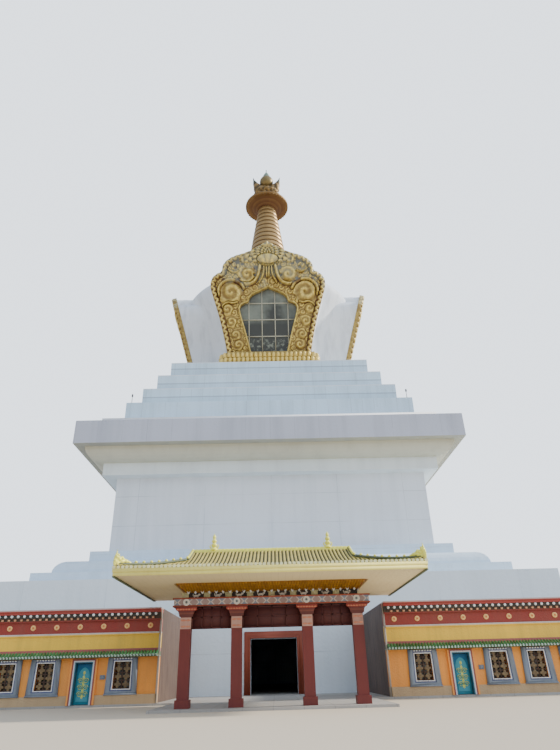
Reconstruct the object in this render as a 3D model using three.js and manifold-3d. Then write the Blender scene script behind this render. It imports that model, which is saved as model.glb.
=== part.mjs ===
// A great white stupa on a square ground storey, with a gilded bell window on each side,
// a spire of thirteen rings and an entrance porch, as a 1:2 scale model.
// Every dimension is a size of the real building in metres, times M.
// The origin is on the ground on the stupa's axis, +Z is up and the porch faces -Y.

import * as THREE from "three";
import { mergeVertices } from "three/addons/utils/BufferGeometryUtils.js";
import Module from "manifold-3d";

// Scale and clearances

const M = 500; // one real metre, in mm of this half-size model
const SEAT = 0.3; // mm left where one piece stands against another
const LAP = 1; // mm by which the solids of one piece run into each other

// Ground storey

const WING_HALF = 27.6 * M; // axis to the outer face of the ground storey
const WALL = 0.5 * M;
const FLOOR_TOP = 0.1 * M;
const PLINTH_TOP = 0.52 * M;
const PLINTH_PROUD = 0.06 * M;
const SILL = 0.76 * M;
const HEAD = 2.05 * M;
const PARAPET_TOP = 4.5 * M;
const TERRACE_TOP = 4.05 * M;
const TERRACE_THICK = 0.35 * M;
const BAY = 1.95 * M;
const DOOR_X = 9.6 * M; // axis to the middle of each side door
const WINDOW_HALF = 0.425 * M;
const WINDOWS_OUTSIDE_DOOR = 8;
const WALL_LENGTHS = [
  { word: "near", windows: [1, 2] },
  { word: "middle", windows: [3, 4, 5] },
  { word: "far", windows: [6, 7, 8] },
];
const WINDOWS_EACH_SIDE_OF_MIDDLE = 12; // on the side and back walls
const GLASS = 0.03 * M;
const GLASS_MARGIN = 0.2 * M;
const GLASS_TOP = HEAD + 0.4 * M;

// Eave and frieze of the ground storey: [distance out from the wall face, height]
const FRIEZE_SECTION = [
  [0, HEAD],
  [0, 2.2 * M],
  [0.42 * M, 2.2 * M],
  [0.42 * M, 2.26 * M],
  [0.04 * M, 2.43 * M],
  [0, 2.59 * M],
  [0, 3.23 * M],
  [0.06 * M, 3.23 * M],
  [0.06 * M, 3.35 * M],
  [0.02 * M, 3.35 * M],
  [0.02 * M, 3.91 * M],
  [0.12 * M, 3.91 * M],
  [0.12 * M, 4.08 * M],
  [0.22 * M, 4.08 * M],
  [0.22 * M, 4.27 * M],
  [0.28 * M, 4.27 * M],
  [0.28 * M, 4.4 * M],
  [0.34 * M, 4.4 * M],
  [0.34 * M, PARAPET_TOP],
  [-WALL, PARAPET_TOP],
];

// Entrance recess and the core of the stupa behind it

const RECESS_HALF = 5.87 * M;
const CORE_HALF = 19.6 * M; // the lowest white tier, which runs down to the floor
const CORE_WALL = 1.2 * M;
const CORE_TOP = 7.2 * M;
const CORE_ROOF = 0.5 * M;
const ENTRANCE_HALF = 1.5 * M;
const ENTRANCE_HEAD = 3.3 * M;

// Side doors

const DOORWAY_HALF = 0.5 * M;
const LINING = 0.09 * M;
const LEAF_GAP = 0.024 * M;
const LEAF_THICK = 0.06 * M;
const LEAF_SET_BACK = 0.15 * M; // from the wall face to the leaf's face
const CASING_WIDE = 0.18 * M;
const CASING_PROUD = 0.12 * M;
const LINING_DEEP = 0.24 * M;
const PIVOT_RADIUS = 0.02 * M;

// White tiers and the body: half width and top height of each course

const TIER_C = { half: 17.4 * M, top: 8.06 * M };
const TIER_B = { half: 16.32 * M, top: 9.15 * M, round: 1.0 * M };
const TIER_A = { half: 14.3 * M, top: 10.07 * M };
const BODY = { half: 13.15 * M, top: 16.29 * M, wall: 1.0 * M };
const BAND = { half: 14.16 * M, top: 17.34 * M };
const OVOLO = { low: 14.4 * M, high: 15.5 * M, top: 18.39 * M };
const CORNICE = { half: 16.28 * M, top: 20.41 * M };
const STEPS = [
  { name: "step_lowest", half: 13.13 * M, top: 23.48 * M },
  { name: "step_second", half: 12.0 * M, top: 25.45 * M },
  { name: "step_third", half: 10.96 * M, top: 27.42 * M },
  { name: "step_top", half: 9.93 * M, top: 29.37 * M },
];
const BELL_FLOOR = STEPS[3].top;

// Bell: a vase that widens to its shoulder and closes in a dome

const BELL_WALL = 0.45 * M;
const BELL_TURNS = 40;
const BELL_SHOULDER = 40.3 * M;
const BELL_TOP = 43.6 * M;
const BELL_PROFILE = [
  [7.0, 29.37],
  [7.75, 32.4],
  [8.6, 35.4],
  [9.5, 38.0],
  [10.15, 39.4],
  [10.45, 40.3],
  [10.1, 40.9],
  [9.5, 41.35],
  [8.75, 41.75],
  [7.9, 42.1],
  [5.97, 42.8],
  [3.66, 43.35],
  [2.4, 43.6],
].map(([radius, height]) => [radius * M, height * M]);

// Gilded windows on the four sides, in a plane that leans out as it rises

const NICHE_DISTANCE = 8.35 * M; // axis to the frame's face at the bell's floor
const NICHE_LEAN = 0.267; // how far out for each unit up
const NICHE_FOOT = 31.1 * M;
const FRAME_THICK = 0.5 * M;
const NICHE_PANE = 0.06 * M;
const PANE_MARGIN = 0.2 * M;
const TUNNEL_MARGIN = 0.24 * M;
const CASING_INSET = 0.12 * M;
const CASING_DEEP = 6.0 * M;
const LOTUS_HALF = 4.27 * M; // to the middle of its round ends
const LOTUS_BACK = 7.6 * M;
const LOTUS_FRONT = 9.05 * M;
const LOTUS_BULGE = 0.5 * M;

// Right half of the frame's outline, from its foot to its point: [x, height]
const FRAME_OUTLINE = [
  [4.4, 31.1],
  [4.85, 33.3],
  [5.4, 35.5],
  [6.0, 37.4],
  [6.27, 38.45],
  [6.07, 39.2],
  [5.64, 39.7],
  [4.9, 40.05],
  [4.95, 40.55],
  [4.6, 41.1],
  [4.1, 41.56],
  [3.2, 41.93],
  [2.4, 42.1],
  [1.75, 42.37],
  [0.9, 42.9],
  [0, 43.42],
].map(([x, z]) => [x * M, z * M]);

// Right half of the window's outline
const WINDOW_OUTLINE = [
  [1.83, 31.1],
  [2.4, 33.4],
  [3.08, 35.83],
  [2.75, 36.3],
  [2.08, 36.5],
  [2.15, 36.85],
  [1.83, 37.2],
  [1.2, 37.5],
  [0.55, 37.75],
  [0, 38.13],
].map(([x, z]) => [x * M, z * M]);

// Spire: a square harmika, thirteen rings, a parasol and a crown. A profile is a list of
// [half width or radius, height].

const RINGS_FOOT = 49.27 * M;
const RINGS_TOP = 59.6 * M;
const RING_COUNT = 13;
const RING_RADIUS_LOW = 2.66 * M;
const RING_RADIUS_HIGH = 1.3 * M;
const RING_GROOVE = 0.2 * M;
const RING_BULGE_FROM = 0.22; // share of the pitch
const RING_BULGE_TO = 0.7;
const RING_END = 0.92;
const SPIRE_TURNS = 20;
const PARASOL_TURNS = 32;
const CROWN_TURNS = 16;

const metres = (profile) => profile.map(([out, height]) => [out * M, height * M]);

const HARMIKA_TOP = 48.1 * M;
const HARMIKA_PROFILE = metres([
  [2.9, 43.6],
  [2.9, 44.05],
  [2.45, 44.3],
  [2.45, 46.9],
  [2.7, 46.95],
  [2.7, 47.35],
  [3.0, 47.4],
  [3.0, 47.85],
  [2.2, 48.1],
]);
const HARMIKA_SEAT_PROFILE = metres([
  [2.1, 48.0],
  [2.7, 48.45],
  [2.7, 48.8],
  [2.4, 49.0],
  [2.4, 49.27],
]);

const PARASOL_PROFILE = metres([
  [1.3, 59.6],
  [1.5, 59.75],
  [2.1, 60.0],
  [2.9, 60.12],
  [3.0, 60.24],
  [3.0, 60.42],
  [2.0, 60.91],
  [1.5, 61.2],
]);

const CROWN_FOOT = 61.2 * M;
const CUP_PROFILE = metres([
  [1.5, 61.2],
  [1.3, 61.5],
  [1.35, 61.8],
  [1.8, 62.3],
  [1.85, 62.65],
  [1.6, 62.9],
]);
const CUP_TOP = 62.95 * M;
const MOON_THICK = 1.0 * M;
const MOON_OUTER = metres([
  [1.97, 66.15],
  [1.9, 65.4],
  [1.98, 64.8],
  [1.85, 64.1],
  [1.9, 63.6],
  [1.55, 63.0],
  [0.9, 62.65],
]);
const MOON_INNER = metres([
  [0.4, 64.4],
  [0.95, 64.75],
  [1.5, 65.2],
  [1.75, 65.6],
]);
const SUN_MIDDLE = 65.22 * M;
const SUN_RADIUS = 0.98 * M;
const JEWEL_PROFILE = metres([
  [0.5, 65.95],
  [0.5, 66.45],
  [0.3, 66.85],
  [0.12, 67.2],
  [0.05, 67.35],
  [0.09, 67.62],
]);
const SPIRE_TIP = 67.85 * M;

// Porch

const PORCH_FRONT = 33.86 * M; // axis to the face of the beam over the columns
const PORCH_HALF = 4.2 * M;
const PORCH_FLOOR_HALF = 4.9 * M;
const PORCH_FLOOR_FRONT = 34.6 * M;
const BEAM_DEEP = 0.5 * M;
const BEAM_WALL = 0.2 * M;
const BEAM_FOOT = 3.88 * M;
const BEAM_TOP = 4.22 * M;
const FRIEZE_TOP = 4.48 * M;
const EAVE_SOFFIT = 4.83 * M;
const FRIEZE_SET_BACK = 0.42 * M; // the brackets over the frieze lean out by as much
const EAVE_THICK = 0.23 * M;
const EAVE_HALF = 6.36 * M;
const EAVE_FRONT = 36.34 * M;
const EAVE_BACK = 27.62 * M;
const ROOF_FOOT = EAVE_SOFFIT + EAVE_THICK;
const RIDGE_FOOT = 6.44 * M;
const RIDGE_TOP = 6.56 * M;
const RIDGE_HALF = 3.74 * M;
const RIDGE_THICK = 0.26 * M;
const RIDGE_FINIAL_X = 2.74 * M;
const RIDGE_OVERHANG = 0.1 * M;
const FINIAL_TURNS = 10;
const FINIAL_PROFILE = metres([
  [0.12, 6.55],
  [0.26, 6.78],
  [0.2, 6.96],
  [0.08, 7.06],
]);
const FINIAL_TIP = 7.34 * M;
const ROOF_STEPS = [12, 8, 8]; // along X, along Y and up
const ROOF_SAG = 0.36; // share of the rise that comes late
const CORNER_LIFT = 0.35 * M;
const COLUMN_HALF = 0.225 * M;
const COLUMN_BASE_HALF = 0.29 * M;
const COLUMN_BASE_TALL = 0.3 * M;
const COLUMN_X = [-3.66 * M, -1.5 * M, 1.5 * M, 3.66 * M];
const CAPITAL_TALL = 0.42 * M;
const CAPITAL_HALF = 0.45 * M;

// Colours

const finish = (color, roughness = 0.8, metalness = 0) =>
  new THREE.MeshStandardMaterial({ color, roughness, metalness });
const whitePaint = finish(0xd5d9de, 0.7);
const ochrePaint = finish(0xd78a3c, 0.8);
const maroonPaint = finish(0x7c2f2c, 0.8);
const stone = finish(0xb9a98a, 0.9);
const gilt = finish(0xd0a040, 0.35, 1);
const copper = finish(0xb9814b, 0.4, 1);
const glass = finish(0x2f3b46, 0.15);
const teal = finish(0x2a7f86, 0.6);
const frameGrey = finish(0xc9cdd2, 0.7);
const recessGrey = finish(0x4b4440, 0.9);
const carvedRed = finish(0xb4512c, 0.6);
const tileGold = finish(0xcfa24a, 0.4, 0.4);
const soffitCream = finish(0xd9c7a0, 0.8);

// Solids

const wasm = await Module();
wasm.setup();

function solid(geometry) {
  const bare = geometry.clone();
  bare.deleteAttribute("normal");
  bare.deleteAttribute("uv");
  const merged = mergeVertices(bare, 1e-3);
  return new wasm.Manifold(
    new wasm.Mesh({
      numProp: 3,
      vertProperties: new Float32Array(merged.attributes.position.array),
      triVerts: new Uint32Array(merged.index.array),
    }),
  );
}

function geometryOf(manifold) {
  const { vertProperties, triVerts } = manifold.getMesh();
  const geometry = new THREE.BufferGeometry();
  geometry.setAttribute("position", new THREE.BufferAttribute(vertProperties, 3));
  geometry.setIndex(new THREE.BufferAttribute(triVerts, 1));
  return geometry;
}

function join(first, ...others) {
  return others.reduce((sum, other) => sum.add(other), first);
}

function cut(first, ...others) {
  return others.reduce((rest, other) => rest.subtract(other), first);
}

function box([x0, x1], [y0, y1], [z0, z1]) {
  return new THREE.BoxGeometry(x1 - x0, y1 - y0, z1 - z0).translate(
    (x0 + x1) / 2,
    (y0 + y1) / 2,
    (z0 + z1) / 2,
  );
}

// A square or round solid from [half width or radius, height] points that start and end
// on the axis, or that close on themselves.
function turned(points, sides) {
  const spread = sides === 4 ? Math.SQRT2 : 1;
  const profile = points.map(([r, z]) => new THREE.Vector2(r * spread, z));
  return new THREE.LatheGeometry(profile, sides, Math.PI / 4).rotateX(Math.PI / 2);
}

const course = (points) => turned(points, 4);

function slab(half, bottom, top) {
  return course([
    [0, bottom],
    [half, bottom],
    [half, top],
    [0, top],
  ]);
}

function squareTube(half, wall, bottom, top) {
  return course([
    [half - wall, bottom],
    [half, bottom],
    [half, top],
    [half - wall, top],
    [half - wall, bottom],
  ]);
}

// A flat outline of [x, height] points, as a plate whose back is at y and whose face is
// thick nearer the viewer.
function plate(points, y, thick) {
  const shape = new THREE.Shape(points.map(([x, z]) => new THREE.Vector2(x, z)));
  return new THREE.ExtrudeGeometry(shape, { depth: thick, bevelEnabled: false })
    .rotateX(Math.PI / 2)
    .translate(0, y, 0);
}

// Quarter circle from one point to another that bulges outwards, in [out, height].
function quarterRound([x0, z0], [x1, z1], outFirst, steps = 6) {
  return Array.from({ length: steps + 1 }, (_, i) => {
    const turn = (i / steps) * (Math.PI / 2);
    const a = outFirst ? Math.sin(turn) : 1 - Math.cos(turn);
    const b = outFirst ? 1 - Math.cos(turn) : Math.sin(turn);
    return [x0 + (x1 - x0) * a, z0 + (z1 - z0) * b];
  });
}

const root = new THREE.Group();

function piece(name, geometry, material, quarterTurns = 0, parent = root) {
  const mesh = new THREE.Mesh(geometry, material.clone());
  mesh.name = name;
  mesh.rotation.z = (quarterTurns * Math.PI) / 2;
  parent.add(mesh);
  return mesh;
}

// Ground storey walls: a section carried along X on the front side. At a mitred end the
// wall stops on the diagonal, where it meets the wall round the corner.

function frontWall(section, left, right) {
  const shape = new THREE.Shape(section.map(([out, z]) => new THREE.Vector2(out, z)));
  const geometry = new THREE.ExtrudeGeometry(shape, { depth: 1, bevelEnabled: false });
  const at = geometry.attributes.position;
  for (let i = 0; i < at.count; i += 1) {
    const out = at.getX(i);
    const end = at.getZ(i) < 0.5 ? right : left;
    const along = end.mitred ? end.x + Math.sign(end.x) * (out - SEAT) : end.x;
    at.setXYZ(i, along, -WING_HALF - out, at.getY(i));
  }
  return solid(geometry);
}

const lowWallSection = (foot) => [
  [-WALL, foot],
  [PLINTH_PROUD, foot],
  [PLINTH_PROUD, PLINTH_TOP],
  [0, PLINTH_TOP],
  [0, HEAD],
  [-WALL, HEAD],
];

const windowHole = (x, head) =>
  solid(box([x - WINDOW_HALF, x + WINDOW_HALF], [-WING_HALF - WALL, -WING_HALF + 2 * WALL], [SILL, head]));

const corner = (side) => ({ x: side * WING_HALF, mitred: true });
const straight = (x) => ({ x, mitred: false });

function addFrontWalls(side, word) {
  const foot = FLOOR_TOP + SEAT;
  const ends = (inner, outer) => (side > 0 ? [inner, outer] : [outer, inner]);
  const jamb = DOOR_X - DOORWAY_HALF;
  const farJamb = DOOR_X + DOORWAY_HALF;
  const firstWindow = side * (DOOR_X - BAY);
  const reach = DOORWAY_HALF + CASING_WIDE + SEAT;
  const rebate = solid(
    box(
      [side * DOOR_X - reach, side * DOOR_X + reach],
      [-WING_HALF - M, -WING_HALF],
      [0, HEAD],
    ),
  );

  const inner = frontWall(
    lowWallSection(foot),
    ...ends(straight(side * RECESS_HALF), straight(side * jamb)),
  );
  piece(`front_wall_${word}_inner`, geometryOf(cut(inner, rebate, windowHole(firstWindow, HEAD + M))), ochrePaint);

  WALL_LENGTHS.forEach((part, i) => {
    const first = part.windows[0];
    const last = part.windows[part.windows.length - 1];
    const start = i === 0 ? farJamb : DOOR_X + BAY * (first - 0.5) + SEAT;
    const end =
      last === WINDOWS_OUTSIDE_DOOR ? corner(side) : straight(side * (DOOR_X + BAY * (last + 0.5)));
    const wall = frontWall(lowWallSection(foot), ...ends(straight(side * start), end));
    const holes = part.windows.map((n) => windowHole(side * (DOOR_X + BAY * n), HEAD + M));
    piece(`front_wall_${word}_${part.word}`, geometryOf(cut(wall, rebate, ...holes)), ochrePaint);
  });

  const raised = FRIEZE_SECTION.map(([out, z]) => [out, z === HEAD ? HEAD + SEAT : z]);
  const frieze = frontWall(
    [...raised, [-WALL, HEAD + SEAT]],
    ...ends(straight(side * RECESS_HALF), corner(side)),
  );
  piece(`front_frieze_${word}`, geometryOf(frieze), maroonPaint);
}

function addPlainWall(name, quarterTurns) {
  const section = [...lowWallSection(FLOOR_TOP + SEAT).slice(0, 4), ...FRIEZE_SECTION];
  const holes = [];
  for (let i = -WINDOWS_EACH_SIDE_OF_MIDDLE; i <= WINDOWS_EACH_SIDE_OF_MIDDLE; i += 1) {
    holes.push(windowHole(i * BAY, HEAD));
  }
  const wall = cut(frontWall(section, corner(-1), corner(1)), ...holes);
  piece(name, geometryOf(wall), ochrePaint, quarterTurns);
}

// One sheet of glass against the inside of each wall.

function addGlass(name, x0, x1, quarterTurns = 0, doorX = null) {
  const y = -WING_HALF + WALL + SEAT;
  const low = SILL - GLASS_MARGIN;
  let sheet = solid(box([x0, x1], [y, y + GLASS], [low, GLASS_TOP]));
  if (doorX !== null) {
    const clear = [doorX - DOORWAY_HALF, doorX + DOORWAY_HALF];
    sheet = cut(sheet, solid(box(clear, [y - M, y + M], [0, HEAD + GLASS_MARGIN])));
  }
  piece(name, geometryOf(sheet), glass, quarterTurns);
}

function addGroundStorey() {
  const reach = WING_HALF + PLINTH_PROUD;
  const floor = join(
    solid(box([-reach, reach], [-reach, reach], [0, FLOOR_TOP])),
    solid(box([-PORCH_FLOOR_HALF, PORCH_FLOOR_HALF], [-PORCH_FLOOR_FRONT, 0], [0, FLOOR_TOP])),
  );
  piece("ground_floor", geometryOf(floor), stone);

  addFrontWalls(-1, "left");
  addFrontWalls(1, "right");
  addPlainWall("right_wall", 1);
  addPlainWall("back_wall", 2);
  addPlainWall("left_wall", 3);

  const lastWindow = DOOR_X + BAY * WINDOWS_OUTSIDE_DOOR + WINDOW_HALF + GLASS_MARGIN;
  const firstWindow = DOOR_X - BAY - WINDOW_HALF - GLASS_MARGIN;
  addGlass("glass_front_left", -lastWindow, -firstWindow, 0, -DOOR_X);
  addGlass("glass_front_right", firstWindow, lastWindow, 0, DOOR_X);
  const sideReach = WINDOWS_EACH_SIDE_OF_MIDDLE * BAY + WINDOW_HALF + GLASS_MARGIN;
  addGlass("glass_right", -sideReach, sideReach, 1);
  addGlass("glass_back", -sideReach, sideReach, 2);
  addGlass("glass_left", -sideReach, sideReach, 3);
}

// Terrace roof between the walls and the core, open over the entrance recess.
function addTerrace() {
  const ring = squareTube(
    WING_HALF - WALL - SEAT,
    WING_HALF - WALL - CORE_HALF - 2 * SEAT,
    TERRACE_TOP - TERRACE_THICK,
    TERRACE_TOP,
  );
  const clear = RECESS_HALF + WALL + SEAT;
  const recess = box([-clear, clear], [-WING_HALF, 0], [0, PARAPET_TOP]);
  piece("terrace_roof", geometryOf(cut(solid(ring), solid(recess))), stone);
}

function addRecess() {
  const front = -WING_HALF + WALL + SEAT;
  const back = -CORE_HALF - SEAT;
  const span = [FLOOR_TOP + SEAT, PARAPET_TOP];
  const outer = RECESS_HALF + WALL;
  piece("recess_wall_left", box([-outer, -RECESS_HALF], [front, back], span), recessGrey);
  piece("recess_wall_right", box([RECESS_HALF, outer], [front, back], span), recessGrey);
}

// Side doors: a casing round each doorway and one leaf that opens inwards on pivots that
// stand in the floor and the head of the frame.

function addDoor(side, word) {
  const x = side * DOOR_X;
  const face = -WING_HALF;
  const foot = FLOOR_TOP + SEAT;
  const clear = DOORWAY_HALF - LINING;
  const headLow = HEAD - LINING;
  const jambs = box(
    [x - DOORWAY_HALF + SEAT, x + DOORWAY_HALF - SEAT],
    [face - CASING_PROUD, face + LINING_DEEP],
    [foot, HEAD - SEAT],
  );
  const wide = DOORWAY_HALF + CASING_WIDE;
  const casing = box(
    [x - wide, x + wide],
    [face - CASING_PROUD, face - SEAT],
    [foot, HEAD + LINING],
  );
  const way = box([x - clear, x + clear], [face - M, face + M], [0, headLow]);
  piece(`door_frame_${word}`, geometryOf(cut(join(solid(jambs), solid(casing)), solid(way))), frameGrey);

  const leafFace = face + LEAF_SET_BACK;
  const leaf = box(
    [x - clear + LEAF_GAP, x + clear - LEAF_GAP],
    [leafFace, leafFace + LEAF_THICK],
    [FLOOR_TOP + LEAF_GAP, headLow - LEAF_GAP],
  );
  const pivot = new THREE.CylinderGeometry(PIVOT_RADIUS, PIVOT_RADIUS, headLow - FLOOR_TOP - 2 * SEAT, 8)
    .rotateX(Math.PI / 2)
    .translate(
      x - side * (clear - LEAF_GAP - LEAF_THICK / 2),
      leafFace + LEAF_THICK / 2,
      (headLow + FLOOR_TOP) / 2,
    );
  piece(`door_${word}`, geometryOf(join(solid(leaf), solid(pivot))), teal);
}

// White tiers, body and steps

function addMasonry() {
  const roofFoot = CORE_TOP - CORE_ROOF;
  const core = solid(squareTube(CORE_HALF, CORE_WALL, FLOOR_TOP + SEAT, roofFoot));
  const entrance = box(
    [-ENTRANCE_HALF, ENTRANCE_HALF],
    [-CORE_HALF - M, -CORE_HALF + CORE_WALL + M],
    [0, ENTRANCE_HEAD],
  );
  piece("core_walls", geometryOf(cut(core, solid(entrance))), whitePaint);

  piece("core_roof", slab(CORE_HALF, roofFoot + SEAT, CORE_TOP), whitePaint);
  piece("tier_lower", slab(TIER_C.half, CORE_TOP + SEAT, TIER_C.top), whitePaint);
  const rounded = [
    [0, TIER_C.top + SEAT],
    [TIER_B.half, TIER_C.top + SEAT],
    ...quarterRound(
      [TIER_B.half, TIER_B.top - TIER_B.round],
      [TIER_B.half - TIER_B.round, TIER_B.top],
      false,
    ),
    [0, TIER_B.top],
  ];
  piece("tier_rounded", course(rounded), whitePaint);
  piece("tier_upper", slab(TIER_A.half, TIER_B.top + SEAT, TIER_A.top), whitePaint);

  piece("body_walls", squareTube(BODY.half, BODY.wall, TIER_A.top + SEAT, BODY.top), whitePaint);
  piece("cornice_band", slab(BAND.half, BODY.top + SEAT, BAND.top), whitePaint);
  const flared = [
    [0, BAND.top + SEAT],
    ...quarterRound([OVOLO.low, BAND.top + SEAT], [OVOLO.high, OVOLO.top], true),
    [0, OVOLO.top],
  ];
  piece("cornice_ovolo", course(flared), whitePaint);
  piece("cornice_slab", slab(CORNICE.half, OVOLO.top + SEAT, CORNICE.top), whitePaint);

  let foot = CORNICE.top;
  for (const step of STEPS) {
    piece(step.name, slab(step.half, foot + SEAT, step.top), whitePaint);
    foot = step.top;
  }
}

// Bell with its four window casings

const mirrored = (half) => [...half, ...half.slice(0, -1).reverse().map(([x, z]) => [-x, z])];

// Window outline made wider and taller by a margin, with its foot where it is.
function grown(outline, margin) {
  const peak = outline.length - 1;
  const grow = ([x, z], i) => [
    i === peak ? 0 : x + margin,
    i === 0 ? z : z + margin * (i / peak),
  ];
  return mirrored(outline.map(grow));
}

// Moves an upright plate into the leaning plane of the window: what was at y = 0 comes to
// lie on the plane, and the plate stays as thick as it was, measured level.
function leaned(geometry) {
  const at = geometry.attributes.position;
  for (let i = 0; i < at.count; i += 1) {
    const out = NICHE_DISTANCE + NICHE_LEAN * (at.getZ(i) - BELL_FLOOR);
    at.setY(i, at.getY(i) - out);
  }
  return geometry;
}

// The bell's profile with its first point at a chosen height.
const footed = (profile, foot) => [[profile[0][0], foot], ...profile.slice(1)];

// The inside of the bell: in from the wall, and also down from the dome.
const innerProfile = () =>
  BELL_PROFILE.map(([r, z]) => [r - BELL_WALL, z > BELL_SHOULDER ? z - BELL_WALL : z]);

function addBell() {
  const foot = BELL_FLOOR + SEAT;
  const outside = solid(
    turned([[0, foot], ...footed(BELL_PROFILE, foot), [0, BELL_TOP]], BELL_TURNS),
  );
  const innerFoot = foot - M;
  const room = solid(
    turned([[0, innerFoot], ...footed(innerProfile(), innerFoot), [0, BELL_TOP - BELL_WALL]], BELL_TURNS),
  );

  const casing = solid(
    leaned(plate(grown(FRAME_OUTLINE, -CASING_INSET), FRAME_THICK + SEAT + CASING_DEEP, CASING_DEEP)),
  );
  const below = solid(box([-CORE_HALF, CORE_HALF], [-CORE_HALF, CORE_HALF], [foot - 4 * M, foot]));
  const tunnel = solid(
    leaned(plate(grown(WINDOW_OUTLINE, TUNNEL_MARGIN), CASING_DEEP + 2 * M, CASING_DEEP + 3 * M)),
  );
  const footBlock = solid(
    leaned(
      box(
        [-FRAME_OUTLINE[0][0] + CASING_INSET, FRAME_OUTLINE[0][0] - CASING_INSET],
        [LOTUS_BACK - NICHE_DISTANCE, CASING_DEEP],
        [BELL_FLOOR - M, NICHE_FOOT],
      ),
    ),
  );
  const clearOfLotus = solid(
    box([-CORE_HALF, CORE_HALF], [-CORE_HALF, -LOTUS_BACK + SEAT], [BELL_FLOOR - M, NICHE_FOOT + LAP + SEAT]),
  );

  let shell = outside;
  const turn = (manifold, quarter) => manifold.rotate([0, 0, 90 * quarter]);
  for (let quarter = 0; quarter < 4; quarter += 1) {
    shell = shell.add(turn(casing, quarter)).add(turn(cut(footBlock, clearOfLotus), quarter));
  }
  shell = shell.subtract(room).subtract(below);
  for (let quarter = 0; quarter < 4; quarter += 1) {
    shell = shell.subtract(turn(tunnel, quarter)).subtract(turn(clearOfLotus, quarter));
  }
  piece("bell", geometryOf(shell), whitePaint);
}

// Gilded frame on its lotus base

function lotusBase() {
  const shape = new THREE.Shape();
  const deep = (LOTUS_FRONT - LOTUS_BACK) / 2;
  shape.moveTo(-LOTUS_HALF, -deep);
  shape.lineTo(LOTUS_HALF, -deep);
  shape.absarc(LOTUS_HALF, 0, deep, -Math.PI / 2, Math.PI / 2, false);
  shape.lineTo(-LOTUS_HALF, deep);
  shape.absarc(-LOTUS_HALF, 0, deep, Math.PI / 2, (3 * Math.PI) / 2, false);
  const tall = (NICHE_FOOT - BELL_FLOOR - SEAT) / 2 + LAP;
  const half = (low) =>
    new THREE.ExtrudeGeometry(shape, {
      depth: tall - LOTUS_BULGE,
      bevelThickness: LOTUS_BULGE / 2,
      bevelSize: LOTUS_BULGE,
      bevelOffset: -LOTUS_BULGE / 2,
      bevelSegments: 2,
      curveSegments: 6,
    }).translate(0, -(LOTUS_FRONT + LOTUS_BACK) / 2 - LOTUS_BULGE / 2, low + LOTUS_BULGE / 2);
  const low = BELL_FLOOR + SEAT;
  const lower = solid(half(low));
  const upper = solid(half(low + tall - LAP));
  return join(lower, upper);
}

function addWindows() {
  const window = solid(leaned(plate(mirrored(WINDOW_OUTLINE), FRAME_THICK + M, FRAME_THICK + 2 * M)));
  const frame = solid(leaned(plate(mirrored(FRAME_OUTLINE), FRAME_THICK, FRAME_THICK)));
  const behind = solid(
    box([-CORE_HALF, CORE_HALF], [-LOTUS_BACK, CORE_HALF], [BELL_FLOOR - M, NICHE_FOOT + M]),
  );
  const gilded = cut(join(frame, lotusBase()), behind);
  const opened = cut(gilded, window);
  const pane = grown(WINDOW_OUTLINE, PANE_MARGIN).map(([x, z]) => [x, Math.max(z, NICHE_FOOT + LAP + SEAT)]);
  const names = ["front", "right", "back", "left"];
  names.forEach((word, quarter) => {
    piece(`window_frame_${word}`, geometryOf(opened), gilt, quarter);
    const sheet = leaned(plate(pane, FRAME_THICK + 2 * SEAT + NICHE_PANE, NICHE_PANE));
    piece(`window_pane_${word}`, sheet, glass, quarter);
  });
}

// Spire

// A profile closed on the axis at its two ends.
const closed = (profile, foot, top) => [[0, foot], ...footed(profile, foot), [0, top]];

function addSpire() {
  const harmikaFoot = BELL_TOP + SEAT;
  const harmika = solid(course(closed(HARMIKA_PROFILE, harmikaFoot, HARMIKA_TOP)));
  const seatFoot = HARMIKA_SEAT_PROFILE[0][1];
  const seat = solid(turned(closed(HARMIKA_SEAT_PROFILE, seatFoot, RINGS_FOOT), SPIRE_TURNS));
  piece("harmika", geometryOf(join(harmika, seat)), gilt);

  const pitch = (RINGS_TOP - RINGS_FOOT) / RING_COUNT;
  const rings = [[0, RINGS_FOOT + SEAT]];
  for (let i = 0; i < RING_COUNT; i += 1) {
    const share = i / (RING_COUNT - 1);
    const radius = RING_RADIUS_LOW + (RING_RADIUS_HIGH - RING_RADIUS_LOW) * share;
    const low = RINGS_FOOT + i * pitch;
    rings.push([radius - RING_GROOVE, i ? low : low + SEAT]);
    rings.push([radius, low + RING_BULGE_FROM * pitch]);
    rings.push([radius, low + RING_BULGE_TO * pitch]);
    rings.push([radius - RING_GROOVE, low + RING_END * pitch]);
  }
  rings.push([RING_RADIUS_HIGH - RING_GROOVE, RINGS_TOP]);
  rings.push([0, RINGS_TOP]);
  piece("spire_rings", turned(rings, SPIRE_TURNS), copper);

  const parasol = closed(PARASOL_PROFILE, RINGS_TOP + SEAT, CROWN_FOOT);
  piece("parasol", turned(parasol, PARASOL_TURNS), copper);

  // The crown: a cup, a crescent moon on it, a sun in the crescent and a jewel on top.
  const cup = solid(turned(closed(CUP_PROFILE, CROWN_FOOT + SEAT, CUP_TOP), CROWN_TURNS));
  const tips = [...MOON_OUTER.slice().reverse(), ...MOON_INNER.slice().reverse()];
  const moonLine = [...tips, ...tips.slice().reverse().map(([x, z]) => [-x, z])];
  const moon = solid(plate(moonLine, MOON_THICK / 2, MOON_THICK));
  const sun = solid(
    new THREE.SphereGeometry(SUN_RADIUS, 16, 10).rotateX(Math.PI / 2).translate(0, 0, SUN_MIDDLE),
  );
  const jewel = solid(turned(closed(JEWEL_PROFILE, JEWEL_PROFILE[0][1], SPIRE_TIP), CROWN_TURNS));
  const crown = join(cup, moon, sun, jewel);
  piece("crown", geometryOf(crown), gilt);
}

// Porch

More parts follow.
